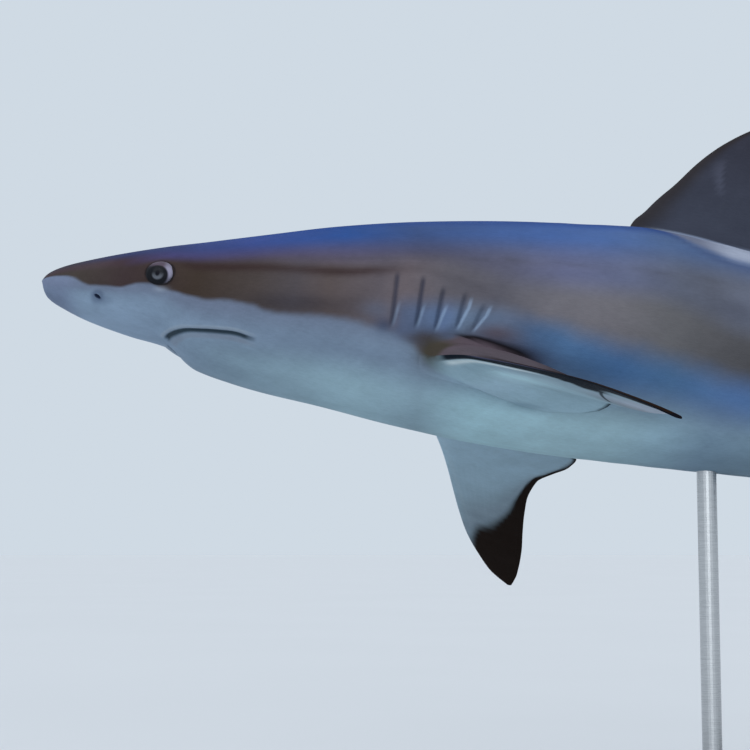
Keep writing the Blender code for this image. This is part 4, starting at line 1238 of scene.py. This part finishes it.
# skin: markings from the attribute, fine mottling, slits and mouth line, denticle bump
skin_mat, nt, bsdf = new_material("shark_skin")
straight = attribute(nt, "straight").outputs["Vector"]
stretch = node(nt, "ShaderNodeMapping")
stretch.inputs["Scale"].default_value = (0.35, 1.0, 1.0)
nt.links.new(straight, stretch.inputs["Vector"])
along = stretch.outputs[0]
base = attribute(nt, "marking").outputs["Color"]
mottle = noise(nt, along, 60, 5, 0.6)
fine = noise(nt, along, 620, 3, 0.6)
tone = math_node(nt, "ADD", ramp(nt, mottle, 0.25, 0.75, 0.95, 1.05), ramp(nt, fine, 0.3, 0.7, -0.035, 0.035))
tone_rgb = node(nt, "ShaderNodeCombineColor")
for k in range(3):
    nt.links.new(tone, tone_rgb.inputs[k])
col = mix_colour(nt, 1.0, base, tone_rgb.outputs[0], "MULTIPLY")
# gill slits: dark line of painted shade in the slit, thin painted highlight on the rear edge
go = attribute(nt, "gill_open").outputs["Fac"]
slit = math_node(nt, "MULTIPLY", ramp(nt, attribute(nt, "gill_front").outputs["Fac"], 0.0, 3.1, 1.0, 0.0), go)
light = math_node(nt, "MULTIPLY", ramp(nt, attribute(nt, "gill_rear").outputs["Fac"], 0.0, 2.5, 1.0, 0.0),
                  attribute(nt, "gill_low").outputs["Fac"])
col = mix_colour(nt, math_node(nt, "MULTIPLY", slit, 0.62), col, (0.020, 0.028, 0.054, 1))
col = mix_colour(nt, math_node(nt, "MULTIPLY", light, 0.50), col, (0.32, 0.43, 0.60, 1))
# mouth: dark line of painted shade in its groove, with a light upper lip
md, mo = attribute(nt, "mouth_mm").outputs["Fac"], attribute(nt, "mouth_open").outputs["Fac"]
mo = ramp(nt, mo, 0.0, 0.9)
mouth_groove = math_node(nt, "MULTIPLY", math_node(nt, "SUBTRACT", ramp(nt, md, -3.8, -1.2), ramp(nt, md, 0.3, 2.2)), mo)
lip_light = math_node(nt, "MULTIPLY", math_node(nt, "SUBTRACT", ramp(nt, md, 1.4, 2.6), ramp(nt, md, 3.8, 6.0)), mo)
lip_warm = math_node(nt, "MULTIPLY", math_node(nt, "SUBTRACT", ramp(nt, md, -9.0, -6.0), ramp(nt, md, -3.6, -2.4)), mo)
col = mix_colour(nt, math_node(nt, "MULTIPLY", lip_warm, 0.22), col, (0.20, 0.175, 0.185, 1))
col = mix_colour(nt, math_node(nt, "MULTIPLY", mouth_groove, 0.90), col, (0.018, 0.032, 0.042, 1))
col = mix_colour(nt, math_node(nt, "MULTIPLY", lip_light, 0.16), col, (0.62, 0.66, 0.68, 1))
col = mix_colour(nt, math_node(nt, "MULTIPLY", attribute(nt, "lateral").outputs["Fac"], 0.22), col, (0.05, 0.05, 0.06, 1))
# the left pectoral fin: thin dark line curving down from the painted shadow along the front edge
pl = node(nt, "ShaderNodeSeparateXYZ")
nt.links.new(attribute(nt, "pec_left").outputs["Vector"], pl.inputs[0])
pu, pv, pon = pl.outputs["X"], pl.outputs["Y"], pl.outputs["Z"]
bow = math_node(nt, "ADD", math_node(nt, "SUBTRACT", pv, 0.790), math_node(nt, "MULTIPLY", math_node(nt, "SUBTRACT", pu, 0.42), 0.26))
curl = math_node(nt, "MULTIPLY", ramp(nt, math_node(nt, "ABSOLUTE", bow), 0.002, 0.008, 1.0, 0.0),
                 math_node(nt, "MULTIPLY", ramp(nt, pu, 0.30, 0.40), ramp(nt, pu, 0.74, 0.84, 1.0, 0.0)))
col = mix_colour(nt, math_node(nt, "MULTIPLY", math_node(nt, "MULTIPLY", curl, pon), 0.9), col, (0.010, 0.020, 0.030, 1))
nt.links.new(col, bsdf.inputs["Base Color"])
nt.links.new(ramp(nt, noise(nt, along, 22, 4, 0.6), 0.3, 0.7, 0.40, 0.54), bsdf.inputs["Roughness"])
bsdf.inputs["IOR"].default_value = 1.16
bsdf.inputs["Specular IOR Level"].default_value = 0.03
bsdf.inputs["Coat Weight"].default_value = 0.0
# bump: denticles, broad unevenness
dent = node(nt, "ShaderNodeTexVoronoi", in_Scale=1500.0)
nt.links.new(along, dent.inputs["Vector"])
height = math_node(nt, "ADD", math_node(nt, "MULTIPLY", dent.outputs["Distance"], 0.35),
                   math_node(nt, "MULTIPLY", noise(nt, along, 260, 3, 0.6), 0.9))
height = math_node(nt, "ADD", height, math_node(nt, "MULTIPLY", slit, -1.4))
height = math_node(nt, "ADD", height, math_node(nt, "MULTIPLY", mouth_groove, -1.6))
bump = node(nt, "ShaderNodeBump", in_Strength=0.35, in_Distance=0.0006)
nt.links.new(height, bump.inputs["Height"])
nt.links.new(bump.outputs[0], bsdf.inputs["Normal"])
mesh.materials.append(skin_mat)

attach(skin, "root")
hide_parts("head", "lower_jaw", "trunk", "tail", "first_dorsal_fin", "second_dorsal_fin",
            "pectoral_fin_left", "pectoral_fin_right", "pelvic_fin_left", "pelvic_fin_right",
            "anal_fin", "caudal_fin_upper", "caudal_fin_lower")


# ------------------------------------------------------------------ eyes
def make_eye(word, side):
    rings, round_ = 40, 64
    pts, look = [], []
    for r in range(rings + 1):
        polar = math.pi * r / rings
        for k in range(round_):
            a = 2 * math.pi * k / round_
            x = math.sin(polar) * math.cos(a)
            z = math.sin(polar) * math.sin(a)
            y = math.cos(polar)
            # a slightly flatter front with a soft bulge over the iris
            flat = 0.94 + 0.06 * math.exp(-(((x * x + z * z) / 0.35) ** 2))
            pts.append((x * 0.0128 + 0.0010, y * flat * EYE_RADII[1], z * EYE_RADII[2]))
            look.append((x * EYE_RADII[0] * 1000, y * EYE_RADII[1] * 1000, z * EYE_RADII[2] * 1000))
    quads = []
    for r in range(rings):
        for k in range(round_):
            n = (k + 1) % round_
            quads.append((r * round_ + k, r * round_ + n, (r + 1) * round_ + n, (r + 1) * round_ + k))
    pts = np.array(pts)
    pts[:, 1] *= side
    turn = math.radians(side * EYE_TURN)
    rot = np.array([[math.cos(turn), -math.sin(turn), 0], [math.sin(turn), math.cos(turn), 0], [0, 0, 1]])
    local = pts @ rot.T / TL + np.array([EYE_AT[0], side * EYE_AT[1], EYE_AT[2]])
    bm = bmesh.new()
    vs = [bm.verts.new(p) for p in posed(local)]
    uv = None
    for q in quads:
        try:
            bm.faces.new([vs[i] for i in (q if side > 0 else q[::-1])])
        except ValueError:
            pass
    bmesh.ops.remove_doubles(bm, verts=bm.verts, dist=1e-6)
    bmesh.ops.recalc_face_normals(bm, faces=bm.faces)
    me = bpy.data.meshes.new("shark_eye_" + word)
    bm.to_mesh(me)
    bm.free()
    me.shade_smooth()
    # the eye's own coordinates, in millimetres, front of the animal at -x
    back = (np.array([v.co[:] for v in me.vertices]) - POSE_T) @ POSE_R / TL
    own = (back - np.array([EYE_AT[0], side * EYE_AT[1], EYE_AT[2]])) * TL * 1000 @ rot
    own[:, 1] *= side
    layer = me.attributes.new("eye_mm", "FLOAT_VECTOR", "POINT")
    layer.data.foreach_set("vector", own.astype(np.float32).ravel())
    uvl = me.uv_layers.new(name="OFBake")
    co = own[[l.vertex_index for l in me.loops]]
    front = co[:, 1] > 0
    uv = np.stack([np.where(front, 0.25, 0.75) + co[:, 0] / 52, 0.5 + co[:, 2] / 52], -1)
    uvl.data.foreach_set("uv", uv.astype(np.float32).ravel())
    obj = bpy.data.objects.new("shark_eye_" + word, me)
    bpy.context.scene.collection.objects.link(obj)
    return obj


eye_mat, nt, bsdf = new_material("shark_eye")
co = attribute(nt, "eye_mm").outputs["Vector"]
sep = node(nt, "ShaderNodeSeparateXYZ")
nt.links.new(co, sep.inputs[0])
ex_, ez_ = sep.outputs["X"], sep.outputs["Z"]


def distance(nt, cx, cz, sx=1.0, sz=1.0):
    dx = math_node(nt, "MULTIPLY", math_node(nt, "SUBTRACT", ex_, cx), 1 / sx)
    dz = math_node(nt, "MULTIPLY", math_node(nt, "SUBTRACT", ez_, cz), 1 / sz)
    return math_node(nt, "SQRT", math_node(nt, "ADD", math_node(nt, "MULTIPLY", dx, dx),
                                           math_node(nt, "MULTIPLY", dz, dz)))


iris_d = distance(nt, 1.3, -1.4, 1.0, 0.95)
ring_d = distance(nt, 0.5, -2.2, 1.13, 1.0)
grain = noise(nt, co, 1.6, 4, 0.6)
iris_tone = math_node(nt, "ADD", ramp(nt, ez_, -5.0, 0.5, 0.120, 0.018),
                      math_node(nt, "MULTIPLY", math_node(nt, "SUBTRACT", grain, 0.5), 0.06))
iris_rgb = node(nt, "ShaderNodeCombineColor")
nt.links.new(math_node(nt, "MULTIPLY", iris_tone, 0.92), iris_rgb.inputs[0])
nt.links.new(iris_tone, iris_rgb.inputs[1])
nt.links.new(math_node(nt, "MULTIPLY", iris_tone, 1.18), iris_rgb.inputs[2])
# pale only towards the rear; dim and purplish over the top, dark in front
rear = ramp(nt, math_node(nt, "ADD", ex_, math_node(nt, "MULTIPLY", ez_, 0.05)), 4.0, 9.0)
over = ramp(nt, math_node(nt, "ADD", ez_, math_node(nt, "MULTIPLY", ex_, 0.3)), 2.0, 7.0)
rim = mix_colour(nt, over, (0.014, 0.015, 0.018, 1), (0.085, 0.060, 0.082, 1))
rim = mix_colour(nt, rear, rim, (0.27, 0.255, 0.34, 1))
rim = mix_colour(nt, math_node(nt, "MULTIPLY", ramp(nt, ez_, -1.0, -7.0), 0.72), rim, (0.06, 0.06, 0.08, 1))
rim = mix_colour(nt, math_node(nt, "MULTIPLY", ramp(nt, ez_, 3.0, 8.5), 0.55), rim, (0.09, 0.07, 0.095, 1))
ecol = mix_colour(nt, ramp(nt, ring_d, 7.2, 8.8), (0.010, 0.011, 0.014, 1), rim)
ecol = mix_colour(nt, ramp(nt, iris_d, 3.8, 5.6), iris_rgb.outputs[0], ecol)
ecol = mix_colour(nt, ramp(nt, distance(nt, 1.2, -1.1, 0.9, 1.1), 1.3, 2.8), (0.008, 0.008, 0.012, 1), ecol)
nt.links.new(ecol, bsdf.inputs["Base Color"])
bsdf.inputs["Roughness"].default_value = 0.28
bsdf.inputs["IOR"].default_value = 1.20
bsdf.inputs["Specular IOR Level"].default_value = 0.15
bsdf.inputs["Coat Weight"].default_value = 0.02
bsdf.inputs["Coat Roughness"].default_value = 0.10
ebump = node(nt, "ShaderNodeBump", in_Strength=0.10, in_Distance=0.0002)
nt.links.new(grain, ebump.inputs["Height"])
nt.links.new(ebump.outputs[0], bsdf.inputs["Normal"])
for word, side in (("left", -1), ("right", 1)):
    eye = make_eye(word, side)
    eye.data.materials.append(eye_mat)
    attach(eye, "root")
    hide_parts("eye_" + word)

# ------------------------------------------------------------------ stand
paint_mat, nt, bsdf = new_material("stand_charcoal_paint")
tc = node(nt, "ShaderNodeTexCoord").outputs["Object"]
cloudy = noise(nt, tc, 9, 4, 0.6)
speck = noise(nt, tc, 900, 2, 0.5)
nt.links.new(mix_colour(nt, ramp(nt, cloudy, 0.3, 0.7), (0.040, 0.041, 0.044, 1), (0.056, 0.057, 0.061, 1)), bsdf.inputs["Base Color"])
nt.links.new(ramp(nt, noise(nt, tc, 30, 4, 0.6), 0.3, 0.7, 0.40, 0.52), bsdf.inputs["Roughness"])
bmp = node(nt, "ShaderNodeBump", in_Strength=0.25, in_Distance=0.0003)
nt.links.new(speck, bmp.inputs["Height"])
nt.links.new(bmp.outputs[0], bsdf.inputs["Normal"])
steel_mat, nt, bsdf = new_material("stand_brushed_steel")
tc = node(nt, "ShaderNodeTexCoord").outputs["Object"]
long_ = node(nt, "ShaderNodeMapping")
long_.inputs["Scale"].default_value = (1.0, 1.0, 40.0)
nt.links.new(tc, long_.inputs["Vector"])
brushed = noise(nt, long_.outputs[0], 60, 4, 0.65)
nt.links.new(mix_colour(nt, ramp(nt, brushed, 0.3, 0.7), (0.46, 0.47, 0.48, 1), (0.60, 0.61, 0.62, 1)), bsdf.inputs["Base Color"])
bsdf.inputs["Metallic"].default_value = 1.0
nt.links.new(ramp(nt, brushed, 0.3, 0.7, 0.26, 0.38), bsdf.inputs["Roughness"])
bmp = node(nt, "ShaderNodeBump", in_Strength=0.12, in_Distance=0.0002)
nt.links.new(brushed, bmp.inputs["Height"])
nt.links.new(bmp.outputs[0], bsdf.inputs["Normal"])
for name, mat in (("stand_base", paint_mat), ("stand_rod_front", steel_mat), ("stand_rod_rear", steel_mat)):
    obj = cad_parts[name]
    if obj.material_slots:
        for slot in obj.material_slots:
            slot.material = mat
    else:
        obj.data.materials.append(mat)

# ------------------------------------------------------------------ floor and light
floor_mat, nt, bsdf = new_material("studio_floor")
tc = node(nt, "ShaderNodeTexCoord").outputs["Object"]
nt.links.new(mix_colour(nt, ramp(nt, noise(nt, tc, 1.2, 3, 0.5), 0.3, 0.7), (0.598, 0.611, 0.632, 1), (0.606, 0.619, 0.640, 1)), bsdf.inputs["Base Color"])
bsdf.inputs["Roughness"].default_value = 0.9
bsdf.inputs["Specular IOR Level"].default_value = 0.1
bm = bmesh.new()
bmesh.ops.create_circle(bm, cap_ends=True, radius=60.0, segments=96)
floor_mesh = bpy.data.meshes.new("studio_floor")
bm.to_mesh(floor_mesh)
bm.free()
floor = bpy.data.objects.new("studio_floor", floor_mesh)
floor_mesh.materials.append(floor_mat)
floor.location = (0, 0, -0.0005)
bpy.context.scene.collection.objects.link(floor)

world_ = bpy.data.worlds.new("studio")
bpy.context.scene.world = world_
world_.use_nodes = True
bg = world_.node_tree.nodes["Background"]
bg.inputs["Color"].default_value = (0.50, 0.56, 0.62, 1)
bg.inputs["Strength"].default_value = 1.25


def sun(name, at, power, spread, colour):
    data = bpy.data.lights.new(name, "SUN")
    data.energy = power
    data.angle = math.radians(spread)
    data.color = colour
    obj = bpy.data.objects.new(name, data)
    obj.rotation_mode = "QUATERNION"
    obj.rotation_quaternion = (-Vector(at)).to_track_quat("-Z", "Y")
    obj.location = at
    bpy.context.scene.collection.objects.link(obj)


sun("key", (-1.6, -2.4, 4.2), 1.10, 50, (1.0, 0.98, 0.95))
sun("fill", (-0.3, -3.0, 0.30), 0.85, 50, (0.92, 0.97, 1.0))
sun("top", (0.4, 0.9, 3.0), 0.35, 70, (0.80, 0.90, 1.0))

# ------------------------------------------------------------------ camera
# worked out in the animal's straight frame, then posed with it
CAM_AT = np.array((0.1896, -0.8022, -0.2608))
YAW, PITCH, ROLL = (math.radians(a) for a in (0.9175, 16.083, 6.996))
LENS = 1637.4 / 750 * 36
cy, sy, cp, sp, cr, sr = (f(a) for a in (YAW, PITCH, ROLL) for f in (math.cos, math.sin))
right = np.array([cy, sy, 0])
ahead0 = np.array([-sy, cy, 0])
up0 = np.array([0, 0, 1.0])
ahead = cp * ahead0 + sp * up0
up1 = -sp * ahead0 + cp * up0
right, up1 = cr * right + sr * up1, -sr * right + cr * up1
axes = np.stack([POSE_R @ right, POSE_R @ up1, -(POSE_R @ ahead)], -1)
cam_data = bpy.data.cameras.new("camera")
cam_data.lens = LENS
cam_data.sensor_width = 36
cam_data.clip_start, cam_data.clip_end = 0.02, 200
cam = bpy.data.objects.new("camera", cam_data)
place = Matrix(axes.tolist()).to_4x4()
place.translation = Vector((CAM_AT * TL) @ POSE_R.T + POSE_T)
cam.matrix_world = place
bpy.context.scene.collection.objects.link(cam)
bpy.context.scene.camera = cam
bpy.context.scene.view_settings.view_transform = "Standard"

print("skin faces", len(faces), "verts", len(P), "columns", NC)
